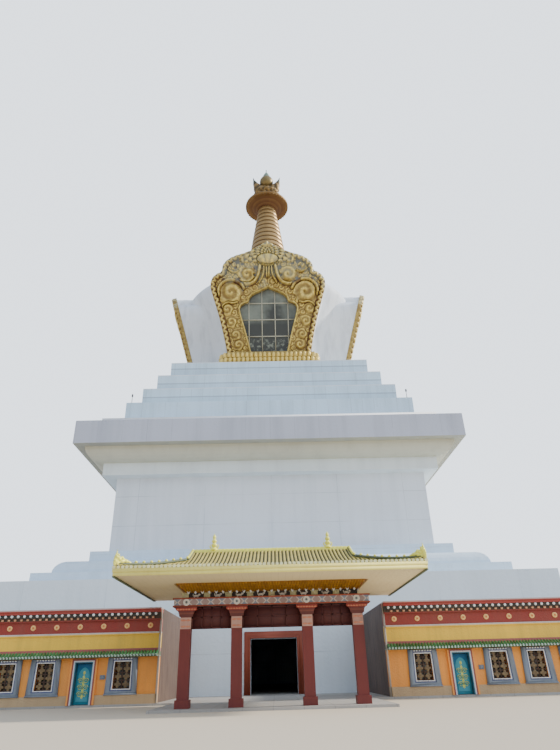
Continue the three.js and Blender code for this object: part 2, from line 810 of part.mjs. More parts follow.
function column(x) {
  const y = -PORCH_FRONT + BEAM_DEEP / 2;
  const top = BEAM_FOOT - SEAT;
  const capitalFoot = top - CAPITAL_TALL;
  const foot = FLOOR_TOP + SEAT;
  const shaft = box(
    [x - COLUMN_HALF, x + COLUMN_HALF],
    [y - COLUMN_HALF, y + COLUMN_HALF],
    [foot, capitalFoot + LAP],
  );
  const base = box(
    [x - COLUMN_BASE_HALF, x + COLUMN_BASE_HALF],
    [y - COLUMN_BASE_HALF, y + COLUMN_BASE_HALF],
    [foot, foot + COLUMN_BASE_TALL],
  );
  const bow = [
    [COLUMN_HALF, capitalFoot],
    ...quarterRound(
      [COLUMN_BASE_HALF, capitalFoot + 0.1 * CAPITAL_TALL],
      [CAPITAL_HALF, top - 0.3 * CAPITAL_TALL],
      false,
      4,
    ),
    [CAPITAL_HALF, top],
  ];
  const outline = [...bow, ...bow.slice().reverse().map(([w, z]) => [-w, z])];
  const capital = plate(outline.map(([w, z]) => [x + w, z]), y + COLUMN_HALF, 2 * COLUMN_HALF);
  return join(solid(shaft), solid(base), solid(capital));
}

// Roof surface: a box whose sides follow the sweep of the eaves. The front and back slopes
// run up to the ridge, and the end slopes stop under a gable in line with the ridge's ends.
function sweptRoof() {
  const depth = (EAVE_FRONT - EAVE_BACK) / 2;
  const middle = -(EAVE_FRONT + EAVE_BACK) / 2;
  const geometry = new THREE.BoxGeometry(2, 2, 1, ...ROOF_STEPS);
  const at = geometry.attributes.position;
  for (let i = 0; i < at.count; i += 1) {
    const u = at.getX(i);
    const v = at.getY(i);
    const up = at.getZ(i) + 0.5;
    const run = up * (depth - RIDGE_THICK / 2);
    const halfX = EAVE_HALF - Math.min(run, EAVE_HALF - RIDGE_HALF);
    const halfY = depth - run;
    const lift = CORNER_LIFT * (Math.abs(u) * Math.abs(v)) ** 6 * (1 - up) ** 3;
    const rise = (RIDGE_FOOT - ROOF_FOOT - SEAT) * ((1 - ROOF_SAG) * up + ROOF_SAG * up ** 3);
    at.setXYZ(i, u * halfX, middle + v * halfY, ROOF_FOOT + SEAT + rise + lift);
  }
  return geometry;
}

function ridge() {
  const middle = -(EAVE_FRONT + EAVE_BACK) / 2;
  const beam = box(
    [-RIDGE_HALF - RIDGE_OVERHANG, RIDGE_HALF + RIDGE_OVERHANG],
    [middle - RIDGE_THICK / 2, middle + RIDGE_THICK / 2],
    [RIDGE_FOOT + SEAT, RIDGE_TOP],
  );
  const finial = closed(FINIAL_PROFILE, FINIAL_PROFILE[0][1], FINIAL_TIP);
  const finials = [-1, 1].map((side) =>
    solid(turned(finial, FINIAL_TURNS).translate(side * RIDGE_FINIAL_X, middle, 0)),
  );
  return join(solid(beam), ...finials);
}

function addPorch() {
  const names = ["outer_left", "inner_left", "inner_right", "outer_right"];
  COLUMN_X.forEach((x, i) => piece(`porch_column_${names[i]}`, geometryOf(column(x)), maroonPaint));

  const back = -WING_HALF - SEAT;
  const beams = box([-PORCH_HALF, PORCH_HALF], [-PORCH_FRONT, back], [BEAM_FOOT, BEAM_TOP]);
  const set = PORCH_HALF - FRIEZE_SET_BACK;
  const setFront = -PORCH_FRONT + FRIEZE_SET_BACK;
  const frieze = box([-set, set], [setFront, back], [BEAM_TOP - LAP, FRIEZE_TOP]);
  const brackets = box([-set, set], [setFront, back], [FRIEZE_TOP - LAP, EAVE_SOFFIT - SEAT]);
  const at = brackets.attributes.position;
  for (let i = 0; i < at.count; i += 1) {
    if (at.getZ(i) > FRIEZE_TOP) {
      at.setX(i, Math.sign(at.getX(i)) * PORCH_HALF);
      if (at.getY(i) < setFront + LAP) at.setY(i, -PORCH_FRONT);
    }
  }
  const inner = set - BEAM_WALL;
  const room = box([-inner, inner], [setFront + BEAM_WALL, 0], [0, 2 * EAVE_SOFFIT]);
  const ring = cut(join(solid(beams), solid(frieze), solid(brackets)), solid(room));
  piece("porch_beams", geometryOf(ring), carvedRed);

  const ceiling = box([-EAVE_HALF, EAVE_HALF], [-EAVE_FRONT, -EAVE_BACK], [EAVE_SOFFIT, ROOF_FOOT]);
  piece("porch_ceiling", ceiling, soffitCream);
  piece("porch_roof", sweptRoof(), tileGold);
  piece("porch_ridge", geometryOf(ridge()), tileGold);
}

addGroundStorey();
addTerrace();
addRecess();
addDoor(-1, "left");
addDoor(1, "right");
addMasonry();
addBell();
addWindows();
addSpire();
addPorch();

export default root;
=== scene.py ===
# %% [markdown]
# # A great white stupa, dressed around its solid model
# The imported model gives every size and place. This lesson adds what a solid model leaves
# out: carving, tiles, painted bands and finishes. All lengths below are metres of the real
# building, and the model is half that size, so one factor turns them into model metres.

import bpy
import bmesh
import numpy as np
from mathutils import Matrix


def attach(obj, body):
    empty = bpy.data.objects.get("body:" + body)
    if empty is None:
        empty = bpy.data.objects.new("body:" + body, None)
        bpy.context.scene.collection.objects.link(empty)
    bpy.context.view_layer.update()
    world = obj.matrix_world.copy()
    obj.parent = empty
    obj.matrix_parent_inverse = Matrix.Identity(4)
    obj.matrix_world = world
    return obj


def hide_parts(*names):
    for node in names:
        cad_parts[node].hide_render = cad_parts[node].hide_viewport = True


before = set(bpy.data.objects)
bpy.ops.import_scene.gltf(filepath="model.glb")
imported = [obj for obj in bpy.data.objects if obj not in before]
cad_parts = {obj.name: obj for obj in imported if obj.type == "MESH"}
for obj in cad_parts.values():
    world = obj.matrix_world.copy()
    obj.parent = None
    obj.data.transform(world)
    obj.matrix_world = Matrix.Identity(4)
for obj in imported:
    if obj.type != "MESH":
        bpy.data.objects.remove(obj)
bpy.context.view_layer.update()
HALF_SIZE = 0.5
TAU = 2 * np.pi
print("nodes in the frame:", len(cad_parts))

# %% [markdown]
# ## Surfaces as arrays
# A surface here is a pair: an array of points and an array of four-cornered faces. A grid
# of points gives its faces by counting alone, so no loop over points is needed. Copies of
# a small surface are made in one multiplication, which keeps hundreds of discs and tiles
# quick. Blender could copy objects instead, but one mesh a kind is easier to look after.

# %% Grids, joining and copying
def grid(points, ring=False):
    """Faces of a (rows, columns, 3) grid: each has the corners (i, j), (i, j+1), (i+1, j+1)
    and (i+1, j). With ring, the last column is joined to the first."""
    rows, columns = points.shape[:2]
    index = np.arange(rows * columns).reshape(rows, columns)
    if ring:
        index = np.hstack([index, index[:, :1]])
    corners = [index[:-1, :-1], index[:-1, 1:], index[1:, 1:], index[1:, :-1]]
    return points.reshape(-1, 3), np.stack(corners, -1).reshape(-1, 4)


def joined(*surfaces):
    """All points after each other, with each surface's face numbers moved up by the count
    of the points before it."""
    starts = np.cumsum([0] + [len(points) for points, _ in surfaces[:-1]])
    points = np.concatenate([points for points, _ in surfaces])
    return points, np.concatenate([faces + n for (_, faces), n in zip(surfaces, starts)])


def copies(surface, places, turns=None, sizes=None):
    """One copy a place: point = turn matrix times (size times point), plus the place."""
    points, faces = surface
    places = np.asarray(places, float).reshape(-1, 3)
    count = len(places)
    turns = np.broadcast_to(np.eye(3) if turns is None else turns, (count, 3, 3))
    sizes = np.ones(count) if sizes is None else np.asarray(sizes, float)
    sizes = sizes.reshape(-1, 1)
    moved = np.einsum("kij,knj->kni", turns, points[None] * sizes[:, None]) + places[:, None]
    steps = np.arange(count)[:, None, None] * len(points)
    return moved.reshape(-1, 3), (faces[None] + steps).reshape(-1, 4)


def turned_z(angle):
    """Turn about the upright axis: x' = x cos a - y sin a, y' = x sin a + y cos a."""
    angle = np.atleast_1d(angle)
    c, s, o = np.cos(angle), np.sin(angle), np.zeros_like(angle)
    return np.stack([c, -s, o, s, c, o, o, o, o + 1], -1).reshape(-1, 3, 3)


def on_sides(surface, sides=(0, 1, 2, 3)):
    """The same surface on several sides: one quarter turn a side about the axis."""
    return copies(surface, np.zeros((len(sides), 3)), turned_z(np.array(sides) * TAU / 4))


# %% Profiles and blocks
def lathe(profile, turns):
    """A profile of (radius, height) points carried round the axis: (r cos a, r sin a, z)."""
    r, z = np.asarray(profile, float).T
    a = np.arange(turns) * TAU / turns
    points = np.stack([np.outer(r, np.cos(a)), np.outer(r, np.sin(a)), np.outer(z, a * 0 + 1)], -1)
    return grid(points, ring=True)


def block(low, high):
    """A box from its low corner to its high corner, as one ring of four corners and two ends."""
    corner = np.array([[0, 0], [1, 0], [1, 1], [0, 1]], float)
    unit = np.stack([np.column_stack([corner, np.full(4, z)]) for z in (0.0, 1.0)])
    points, faces = grid(np.asarray(low) + unit * (np.asarray(high, float) - low), ring=True)
    return points, np.concatenate([faces, [[3, 2, 1, 0], [4, 5, 6, 7]]])


def rounded(line):
    """Every corner is cut off: each edge keeps its middle half, and both ends stay."""
    near, far = line[:-1] * 0.75 + line[1:] * 0.25, line[:-1] * 0.25 + line[1:] * 0.75
    middle = np.stack([near, far], 1).reshape(-1, line.shape[1])
    return np.concatenate([line[:1], middle[1:-1], line[-1:]])


def smooth_line(corners, count, rounding=2):
    """Corners rounded twice, then the line is read at equal steps."""
    line = np.asarray(corners, float)
    for _ in range(rounding):
        line = rounded(line)
    gone = np.concatenate([[0], np.cumsum(np.linalg.norm(np.diff(line, axis=0), axis=1))])
    steps = np.linspace(0, gone[-1], count)
    return np.stack([np.interp(steps, gone, axis) for axis in line.T], -1)


# %% Putting a surface into a mesh
def piece(
    name, surface, material, body="stupa", stands_for=(), smooth=40, depth=None
):
    """Points times the half size go into a mesh with foreach_set. Doubles at the poles are
    merged, and faces are turned outwards. Edges sharper than `smooth` degrees stay sharp.
    `depth` is one number a point, 0 in a groove and 1 on a crest, for carved finishes, which darken
    the grooves with painted shade and soil."""
    points, faces = surface
    mesh = bpy.data.meshes.new(name)
    mesh.vertices.add(len(points))
    mesh.vertices.foreach_set("co", (points * HALF_SIZE).astype(np.float32).ravel())
    mesh.loops.add(faces.size)
    mesh.loops.foreach_set("vertex_index", faces.astype(np.int32).ravel())
    mesh.polygons.add(len(faces))
    mesh.polygons.foreach_set("loop_start", np.arange(0, faces.size, 4, dtype=np.int32))
    mesh.update(calc_edges=True)
    if depth is not None:
        stored = mesh.attributes.new("depth", "FLOAT", "POINT")
        stored.data.foreach_set("value", depth.astype(np.float32))
    tidy = bmesh.new()
    tidy.from_mesh(mesh)
    bmesh.ops.remove_doubles(tidy, verts=tidy.verts, dist=1e-4)
    bmesh.ops.dissolve_degenerate(tidy, edges=tidy.edges, dist=1e-5)
    bmesh.ops.recalc_face_normals(tidy, faces=tidy.faces)
    tidy.to_mesh(mesh)
    tidy.free()
    if smooth:
        mesh.shade_smooth()
        mesh.set_sharp_from_angle(angle=np.radians(smooth))
    mesh.materials.append(material)
    made = bpy.data.objects.new(name, mesh)
    bpy.context.scene.collection.objects.link(made)
    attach(made, body)
    if stands_for:
        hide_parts(*stands_for)
    print(f"{name}: {len(mesh.polygons)} faces")
    return made


# %% [markdown]
# ## Camera and light
# The photograph was taken from near the ground, about 60 m in front of the real axis,
# looking up. Fitting the corners of the white courses gave the lens and the three angles.
# The light is plain and soft: a bright even sky, and one large sun-like lamp from the right
# and a little behind, because the right flanks are the bright ones and the front has no
# cast shadows. A faint, very broad fill from the front right leaves the left flanks in
# shade. The backdrop is paler than the light it gives, as a studio screen is.

# %% The camera
CAMERA_PLACE = (0.0786, -29.9, 0.621)
yaw, pitch, roll = 0.017966, 0.488743, -0.02719
level_ahead = np.array([np.sin(yaw), np.cos(yaw), 0])
level_right = np.array([np.cos(yaw), -np.sin(yaw), 0])
up_axis = np.array([0, 0, 1.0])
ahead = level_ahead * np.cos(pitch) + up_axis * np.sin(pitch)
lifted = -level_ahead * np.sin(pitch) + up_axis * np.cos(pitch)
right = level_right * np.cos(roll) + lifted * np.sin(roll)
top = -level_right * np.sin(roll) + lifted * np.cos(roll)

lens = bpy.data.cameras.new("view")
lens.lens, lens.sensor_width, lens.clip_end = 26.96, 36.0, 500.0
camera = bpy.data.objects.new("view", lens)
bpy.context.scene.collection.objects.link(camera)
turn = np.eye(4)
turn[:3, :3] = np.column_stack([right, top, -ahead])
turn[:3, 3] = CAMERA_PLACE
camera.matrix_world = Matrix(turn.tolist())
bpy.context.scene.camera = camera
print("the camera looks up by", round(np.degrees(pitch), 1), "degrees")

# %% Sky and lamps
world = bpy.data.worlds.new("soft studio")
bpy.context.scene.world = world
world.use_nodes = True
backdrop = world.node_tree.nodes["Background"]
backdrop.inputs["Color"].default_value = (0.66, 0.79, 1.0, 1)
backdrop.inputs["Strength"].default_value = 1.0
screen = world.node_tree.nodes.new("ShaderNodeBackground")
screen.inputs["Color"].default_value = (0.84, 0.91, 1.0, 1)
screen.inputs["Strength"].default_value = 2.4
seen = world.node_tree.nodes.new("ShaderNodeLightPath")
either = world.node_tree.nodes.new("ShaderNodeMixShader")
world.node_tree.links.new(seen.outputs["Is Camera Ray"], either.inputs[0])
world.node_tree.links.new(backdrop.outputs[0], either.inputs[1])
world.node_tree.links.new(screen.outputs[0], either.inputs[2])
world.node_tree.links.new(
    either.outputs[0], world.node_tree.nodes["World Output"].inputs["Surface"]
)


def far_lamp(name, energy, wide, colour, tilt, heading):
    """A lamp so far off that its rays are parallel. The three angles are in degrees: how
    wide it looks, how far from straight down it shines, and from which side."""
    lamp = bpy.data.lights.new(name, "SUN")
    lamp.energy, lamp.angle, lamp.color = energy, np.radians(wide), colour
    placed = bpy.data.objects.new(name, lamp)
    placed.rotation_euler = (np.radians(tilt), 0, np.radians(heading))
    bpy.context.scene.collection.objects.link(placed)
    print(f"{name}: strength {energy}, {tilt} degrees from overhead")


far_lamp("right lamp", 5.3, 6, (1.0, 0.94, 0.84), 58, 97)
far_lamp("soft fill", 1.32, 90, (0.86, 0.93, 1.0), 65, 52)


# %% [markdown]
# ## Finishes
# Every finish is worked out from the place on the object, so it needs no picture. Two effects turn
# up in many finishes and are node groups: rain streaks and soil on paint, and a darkening of the
# low parts of carved or ribbed work, which is painted shade together with soil. A plain colour and
# roughness would be quicker, but large flat walls of one colour look like card.

# %% A short way to write nodes
class Nodes:
    """Adds nodes to a tree and joins them: a value that is a socket is linked, others are set."""

    def __init__(self, tree):
        self.tree = tree

    def add(self, kind, settings=None, **inputs):
        node = self.tree.nodes.new(kind)
        for key, value in (settings or {}).items():
            setattr(node, key, value)
        for key, value in inputs.items():
            place = int(key[1:]) if key[0] == "_" and key[1:].isdigit() else key.replace("_", " ")
            self.join(value, node.inputs[place])
        return node

    def join(self, value, socket):
        if isinstance(value, bpy.types.NodeSocket):
            self.tree.links.new(value, socket)
        else:
            socket.default_value = value

    def place(self):
        """The place on the object, which every pattern here reads."""
        return self.add("ShaderNodeTexCoord").outputs["Object"]

    def axes(self, place=None):
        """The same place as three sockets: x, y and height."""
        place = self.place() if place is None else place
        return self.add("ShaderNodeSeparateXYZ", _0=place).outputs

    def maths(self, how, a, b=0.0, limited=False):
        return self.add(
            "ShaderNodeMath", {"operation": how, "use_clamp": limited}, _0=a, _1=b
        ).outputs[0]

    def mixed(self, share, a, b):
        node = self.add("ShaderNodeMix", {"data_type": "RGBA", "blend_type": "MIX"})
        self.join(share, node.inputs[0])
        self.join(a, node.inputs[6])
        self.join(b, node.inputs[7])
        return node.outputs[2]

    def noise(self, place, scale, detail=4.0, rough=0.55):
        return self.add(
            "ShaderNodeTexNoise", Vector=place, Scale=scale, Detail=detail, Roughness=rough
        ).outputs[0]

    def stretched(self, place, size):
        return self.add(
            "ShaderNodeVectorMath", {"operation": "MULTIPLY"}, _0=place, _1=size
        ).outputs[0]

    def ramp(self, value, low, high):
        return self.add("ShaderNodeMapRange", _0=value, _1=low, _2=high).outputs[0]


def shade(red, green, blue):
    """A colour as painters' values of 0 to 255, turned into linear light: ((c + 14) / 269)^2.4."""
    lit = [((c / 255 + 0.055) / 1.055) ** 2.4 for c in (red, green, blue)]
    return (*lit, 1.0)


# %% An empty effect
RESULTS = ("Color", "Roughness", "Height")


def effect(name, inputs):
    """A node group with the given inputs. A tuple is a colour and a number is a value, and
    what comes out is a colour, a roughness and a height."""
    group = bpy.data.node_groups.new(name, "ShaderNodeTree")
    for key, value in inputs.items():
        kind = "NodeSocketColor" if isinstance(value, tuple) else "NodeSocketFloat"
        socket = group.interface.new_socket(key, in_out="INPUT", socket_type=kind)
        socket.default_value = value
    for key in RESULTS:
        kind = "NodeSocketColor" if key == "Color" else "NodeSocketFloat"
        group.interface.new_socket(key, in_out="OUTPUT", socket_type=kind)
    return group


# %% Rain streaks and soil on painted walls
def build_rain():
    """Colour = paint, darkened by upright streaks (noise stretched 18 times in height), by
    broad soft patches, and lightly by fine grain."""
    paint, soil = (0.8, 0.8, 0.8, 1), (0.4, 0.4, 0.4, 1)
    inputs = {"Paint": paint, "Soil": soil, "Streaks": 0.3, "Patches": 0.3, "Size": 1.0}
    group = effect("rain on paint", inputs)
    n = Nodes(group)
    given = n.add("NodeGroupInput").outputs
    place = n.place()
    streaks = n.noise(n.stretched(place, (1.6, 1.6, 0.09)), given["Size"], 5.0, 0.62)
    streaks = n.maths("MULTIPLY", n.ramp(streaks, 0.46, 0.78), given["Streaks"])
    patches = n.noise(place, n.maths("MULTIPLY", given["Size"], 0.16), 3.0)
    patches = n.maths("MULTIPLY", n.ramp(patches, 0.38, 0.72), given["Patches"])
    grain = n.noise(place, n.maths("MULTIPLY", given["Size"], 9.0), 3.0)
    soil = n.maths("ADD", n.maths("ADD", streaks, patches), n.maths("MULTIPLY", grain, 0.08), True)
    made = n.add("NodeGroupOutput")
    n.join(n.mixed(soil, given["Paint"], given["Soil"]), made.inputs["Color"])
    n.join(n.maths("ADD", n.maths("MULTIPLY", soil, 0.2), 0.62), made.inputs["Roughness"])
    n.join(grain, made.inputs["Height"])
    return group


# %% Soil and painted shade in carving
def build_relief_wear_and_shade():
    """Colour = a bright crest, or a dark groove where the stored depth is low: painted shade and
    soil in the grooves. Small voronoi cells add the chasing marks that are too fine for the mesh."""
    crest, groove = (0.8, 0.6, 0.2, 1), (0.2, 0.1, 0.03, 1)
    inputs = {"Crest": crest, "Groove": groove, "Depth": 1.0, "Fine marks": 0.4, "Size": 4.0}
    group = effect("relief wear and painted shade", inputs)
    n = Nodes(group)
    given = n.add("NodeGroupInput").outputs
    place = n.place()
    coarse = n.maths("MULTIPLY", given["Size"], 0.6)
    warp = n.add("ShaderNodeTexNoise", Vector=place, Scale=coarse, Detail=2.0)
    warp = n.stretched(warp.outputs["Color"], (0.3, 0.3, 0.3))
    bent = n.add("ShaderNodeVectorMath", {"operation": "ADD"}, _0=place, _1=warp)
    cells = n.add(
        "ShaderNodeTexVoronoi", {"feature": "SMOOTH_F1"}, Vector=bent.outputs[0],
        Scale=given["Size"],
    )
    marks = n.ramp(cells.outputs["Distance"], 0.12, 0.62)
    kept = n.maths("SUBTRACT", 1.0, n.maths("MULTIPLY", marks, given["Fine marks"]))
    light = n.maths("MULTIPLY", given["Depth"], kept, True)
    made = n.add("NodeGroupOutput")
    n.join(n.mixed(light, given["Groove"], given["Crest"]), made.inputs["Color"])
    n.join(n.maths("SUBTRACT", 0.62, n.maths("MULTIPLY", light, 0.26)), made.inputs["Roughness"])
    n.join(n.maths("SUBTRACT", 1.0, marks), made.inputs["Height"])
    return group


rain, relief_wear_and_shade = build_rain(), build_relief_wear_and_shade()
print("shared effects:", rain.name, "and", relief_wear_and_shade.name)

# %% From a colour to a finish
def finish(name, colour, roughness=0.7, bump=0.02, metallic=0.0, **principled):
    """A material of one colour, or of what `colour(n)` makes: a colour, a roughness and a
    height, which goes through a bump `bump` metres high."""
    material = bpy.data.materials.new(name)
    material.use_nodes = True
    n = Nodes(material.node_tree)
    shader = material.node_tree.nodes["Principled BSDF"]
    made = colour(n) if callable(colour) else (colour, roughness, None)
    n.join(made[0], shader.inputs["Base Color"])
    n.join(made[1] if made[1] is not None else roughness, shader.inputs["Roughness"])
    if made[2] is not None:
        rough_skin = n.add("ShaderNodeBump", Strength=0.6, Distance=bump, Height=made[2])
        n.join(rough_skin.outputs[0], shader.inputs["Normal"])
    shader.inputs["Metallic"].default_value = metallic
    for key, value in principled.items():
        shader.inputs[key.replace("_", " ")].default_value = value
    return material


def painted(paint, soil, streaks=0.25, patches=0.2, size=1.0):
    """A wall paint under rain streaks. `paint` is a colour, or a function that makes one."""

    def colour(n):
        base = paint(n) if callable(paint) else paint
        values = {"Paint": base, "Soil": soil, "Streaks": streaks, "Patches": patches, "Size": size}
        group = n.add("ShaderNodeGroup", {"node_tree": rain}, **values)
        return [group.outputs[key] for key in RESULTS]

    return colour


def relief(crest, groove, marks=0.35, size=4.0, stored=True):
    """Gilding or carving. The depth comes from the mesh's own "depth" values where stored, and
    darkens the grooves with painted shade and soil.
    """

    def colour(n):
        high, low = (part(n) if callable(part) else part for part in (crest, groove))
        values = {"Crest": high, "Groove": low, "Depth": 1.0, "Fine_marks": marks, "Size": size}
        if stored:
            read = n.add("ShaderNodeAttribute", {"attribute_name": "depth"})
            values["Depth"] = read.outputs["Fac"]
        group = n.add("ShaderNodeGroup", {"node_tree": relief_wear_and_shade}, **values)
        return [group.outputs[key] for key in RESULTS]

    return colour


def banded(levels, first):
    """Paint in level bands: for each (height, colour) the colour changes there, going up."""

    def colour(n):
        height = n.axes()[2]
        paint = first
        for level, above in levels:
            over = n.maths("GREATER_THAN", height, level * HALF_SIZE)
            paint = n.mixed(over, paint, above)
        return paint

    return colour


def plain_paint(name, paint, soil, streaks, patches, size, **more):
    """Paint of one colour under rain streaks, with both colours as painters' values."""
    return finish(name, painted(shade(*paint), shade(*soil), streaks, patches, size), **more)


def gilt(name, crest, groove, marks, size, stored=True, **more):
    """A relief with one colour on its crests and one in its grooves."""
    return finish(name, relief(shade(*crest), shade(*groove), marks, size, stored), **more)


# %% [markdown]
# ## White masonry
# The tiers, the body, the cornice and the steps are plain courses of white paint, with rain streaks
# below each ledge and thin joints between the panels. The whites of the tiers and steps are tinted
# a cool blue-grey as painted shade of their fronts, and the core's white is a lighter copy, as
# painted light.
# The solids already have the right shape, so only their finish changes here.

# %% White paint with panel joints
def panel_joints(white, joint, width, height):
    """Upright joints every `width` and level joints every `height` real metres: the distance
    to the nearest joint is found by folding each coordinate, and is dark under 2.8 cm."""

    def colour(n):
        axes = n.axes()
        bend = n.noise(n.place(), 0.7, 2.0)
        line = 0.0
        for axis, step in ((axes[0], width), (axes[1], width), (axes[2], height)):
            fold = n.maths("PINGPONG", axis, step * HALF_SIZE / 2)
            line = n.maths("MAXIMUM", line, n.maths("LESS_THAN", fold, 0.028 * HALF_SIZE))
        faint = n.maths("MULTIPLY", line, n.ramp(bend, 0.35, 0.65))
        return n.mixed(n.maths("MULTIPLY", faint, 0.3), white, joint)

    return colour


# Each upper step's foot, the height of a thin painted shadow line on its riser, and its top, where
# a painted highlight runs.
STEP_LEVELS = ((23.48, 24.52, 25.45), (25.45, 26.47, 27.42), (27.42, 28.65, 29.37))


def step_highlight_and_shade(paint):
    """On the three upper steps a painted highlight runs along the top edge, and the lowest metre of
    each riser is painted a little darker as shade, under a thin painted shadow line."""

    def colour(n):
        height = n.axes()[2]
        made = paint(n)
        for foot, shadow_line_height, top in STEP_LEVELS:
            over = n.maths("GREATER_THAN", height, foot * HALF_SIZE)
            under = n.maths("LESS_THAN", height, shadow_line_height * HALF_SIZE)
            riser_shade = n.maths("MULTIPLY", n.maths("MULTIPLY", over, under), 0.3)
            line = n.maths("COMPARE", height, shadow_line_height * HALF_SIZE)
            line.node.inputs[2].default_value = 0.03
            edge = n.maths("COMPARE", height, top * HALF_SIZE)
            edge.node.inputs[2].default_value = 0.05
            # Painted shade on the riser's foot, a painted shadow line over it, and a painted
            # highlight on the top edge.
            made = n.mixed(riser_shade, made, shade(176, 194, 208))
            made = n.mixed(n.maths("MULTIPLY", line, 0.55), made, shade(140, 152, 166))
            made = n.mixed(n.maths("MULTIPLY", edge, 0.6), made, shade(240, 244, 248))
        return made

    return colour


WHITE, WHITE_SOIL, JOINT = shade(238, 243, 249), shade(168, 176, 186), shade(140, 146, 152)
SKY_SHADE_WHITE, LILAC_WHITE = shade(211, 236, 252), shade(199, 203, 216)
PANEL_WIDE, PANEL_TALL, NO_JOINT = 5.6, 2.45, 50.0


def white_panels(name, white, streaks, patches):
    """White paint in large panels, which the walls, the core and the tiers share."""
    panels = panel_joints(white, JOINT, PANEL_WIDE, PANEL_TALL)
    return finish(name, painted(panels, WHITE_SOIL, streaks, patches, 1.1))


# One white plaster in three copies: the core's is painted lighter and the tiers' bluer, standing in
# for how the light falls on each course.
white_wall = white_panels("white wall paint", WHITE, 0.22, 0.18)
white_core = white_panels("white core paint", shade(240, 250, 255), 0.16, 0.12)
white_tier = white_panels("white tier paint", shade(222, 240, 255), 0.22, 0.18)
step_paint = step_highlight_and_shade(panel_joints(SKY_SHADE_WHITE, JOINT, 1.06, NO_JOINT))
white_step = finish(
    "cool white step paint", painted(step_paint, shade(150, 160, 172), 0.3, 0.2, 1.3)
)
slab_joints = panel_joints(LILAC_WHITE, shade(128, 130, 140), 2.05, NO_JOINT)
SLAB_UNDERSIDE = 18.42


def slab_paint_and_bounce(n):
    """Lilac-white on the slab's edge, and a warmer cream on its underside, which is painted warm
    light thrown up from the sunlit ground.
    """
    height = n.axes()[2]
    under = n.maths("LESS_THAN", height, SLAB_UNDERSIDE * HALF_SIZE)
    # The cream underside is painted bounce light from the ground.
    return n.mixed(under, slab_joints(n), shade(186, 183, 160))


white_slab = finish(
    "lilac-white slab paint", painted(slab_paint_and_bounce, shade(150, 152, 164), 0.34, 0.24, 1.2)
)
# The ovolo under the slab takes a darker, warmer copy of the white: painted shade with warm light
# thrown up from the ground.
shaded_warm_white = plain_paint("shaded warm white plaster", (213, 210, 188), (160, 156, 138), 0.2, 0.2, 1.1)
band_white = plain_paint("band plaster", (238, 246, 246), (172, 176, 178), 0.2, 0.2, 1.1)
white_bell = finish("white bell plaster", painted(WHITE, shade(156, 162, 168), 0.4, 0.28, 1.5))
fresh_white = plain_paint("fresh white paint", (250, 250, 250), (220, 222, 226), 0.1, 0.1, 3.0)

# %% The white courses get their finish
def dress(names, material):
    """Solids of the model get a finish. Their shapes stay as they are."""
    for name in names:
        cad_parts[name].material_slots[0].material = material


cores, tiers = ["core_walls", "core_roof"], ["tier_lower", "tier_rounded", "tier_upper"]
steps = ["step_lowest", "step_second", "step_third", "step_top"]
cornice = [
    (["cornice_slab"], white_slab), (["cornice_ovolo"], shaded_warm_white), (["cornice_band"], band_white)
]
walls = [(cores, white_core), (tiers, white_tier), (["body_walls"], white_wall)]
for names, material in walls + [(steps, white_step)] + cornice:
    dress(names, material)
print("white courses:", len(cores) + len(tiers) + 1 + len(steps) + len(cornice))

# %% [markdown]
# A bright white upstand runs along the top of the cornice, inside its edge, and a slim lamp
# on a rod stands near each corner of the lowest step. Both are small closed solids.

# %% Upstand and rods
CORNICE_TOP, LOWEST_STEP_TOP = 20.41, 23.48
upstand = block((-14.3, -15.7, CORNICE_TOP), (14.3, -15.5, CORNICE_TOP + 0.42))
piece("cornice_upstand", on_sides(upstand), fresh_white, smooth=0)

rod_profile = [
    (0, 0), (0.09, 0), (0.09, 0.06), (0.03, 0.1), (0.025, 0.75), (0.08, 0.8), (0.08, 1.0),
    (0.02, 1.06), (0, 1.1),
]
rod_places = [(x, y, LOWEST_STEP_TOP) for x in (-12.75, 12.75) for y in (-12.75, 12.75)]
grey_metal = plain_paint("grey metal", (96, 98, 102), (60, 60, 62), 0.2, 0.3, 8.0)
piece("step_corner_lamps", copies(lathe(rod_profile, 8), rod_places), grey_metal)

# %% [markdown]
# ## The bell
# The bell is a vase that widens to a shoulder and closes in a low dome. Its profile is
# smoothed and carried round in 128 turns. The four windows are left open: cells of the grid
# that lie inside a window's outline are dropped, and a Solidify modifier gives the wall its
# thickness and closes the rims. Cutting with booleans would work too, but leaves long thin
# faces that shade badly on a smooth bell.

# %% Outlines of the gilded frame and of the window in it
FLOOR, LEAN = 29.37, 0.267
FRAME_EDGE = np.array([
    (4.4, 31.1), (4.85, 33.3), (5.4, 35.5), (6.0, 37.4), (6.27, 38.45), (6.12, 39.2), (5.64, 39.75),
    (4.93, 40.02), (4.97, 40.6), (4.62, 41.15), (4.1, 41.56), (3.2, 41.93), (2.4, 42.1),
    (1.75, 42.37), (0.9, 42.9), (0, 43.42),
])
WINDOW_EDGE = np.array([
    (1.86, 31.1), (2.4, 33.3), (3.1, 35.75), (3.0, 36.1), (2.76, 36.38), (2.08, 36.56),
    (2.06, 36.95), (1.83, 37.25), (1.36, 37.55), (0.62, 37.85), (0.29, 38.0), (0, 38.14),
])


def both_sides(half):
    """A half outline from its foot to its point, then its mirror image back down."""
    return np.concatenate([half, half[-2::-1] * (-1, 1)])


def plane_out(z):
    """Distance of the leaning plane from the axis: 8.35 m at the floor, and more by the lean
    for each metre up."""
    return 8.35 + LEAN * (z - FLOOR)


def on_plane(x, z, proud):
    """A place on the leaning front plane, `proud` metres out along the plane's own normal."""
    slant = np.hypot(1, LEAN)
    return np.stack([x, -plane_out(z) - proud / slant, z - proud * LEAN / slant], -1)


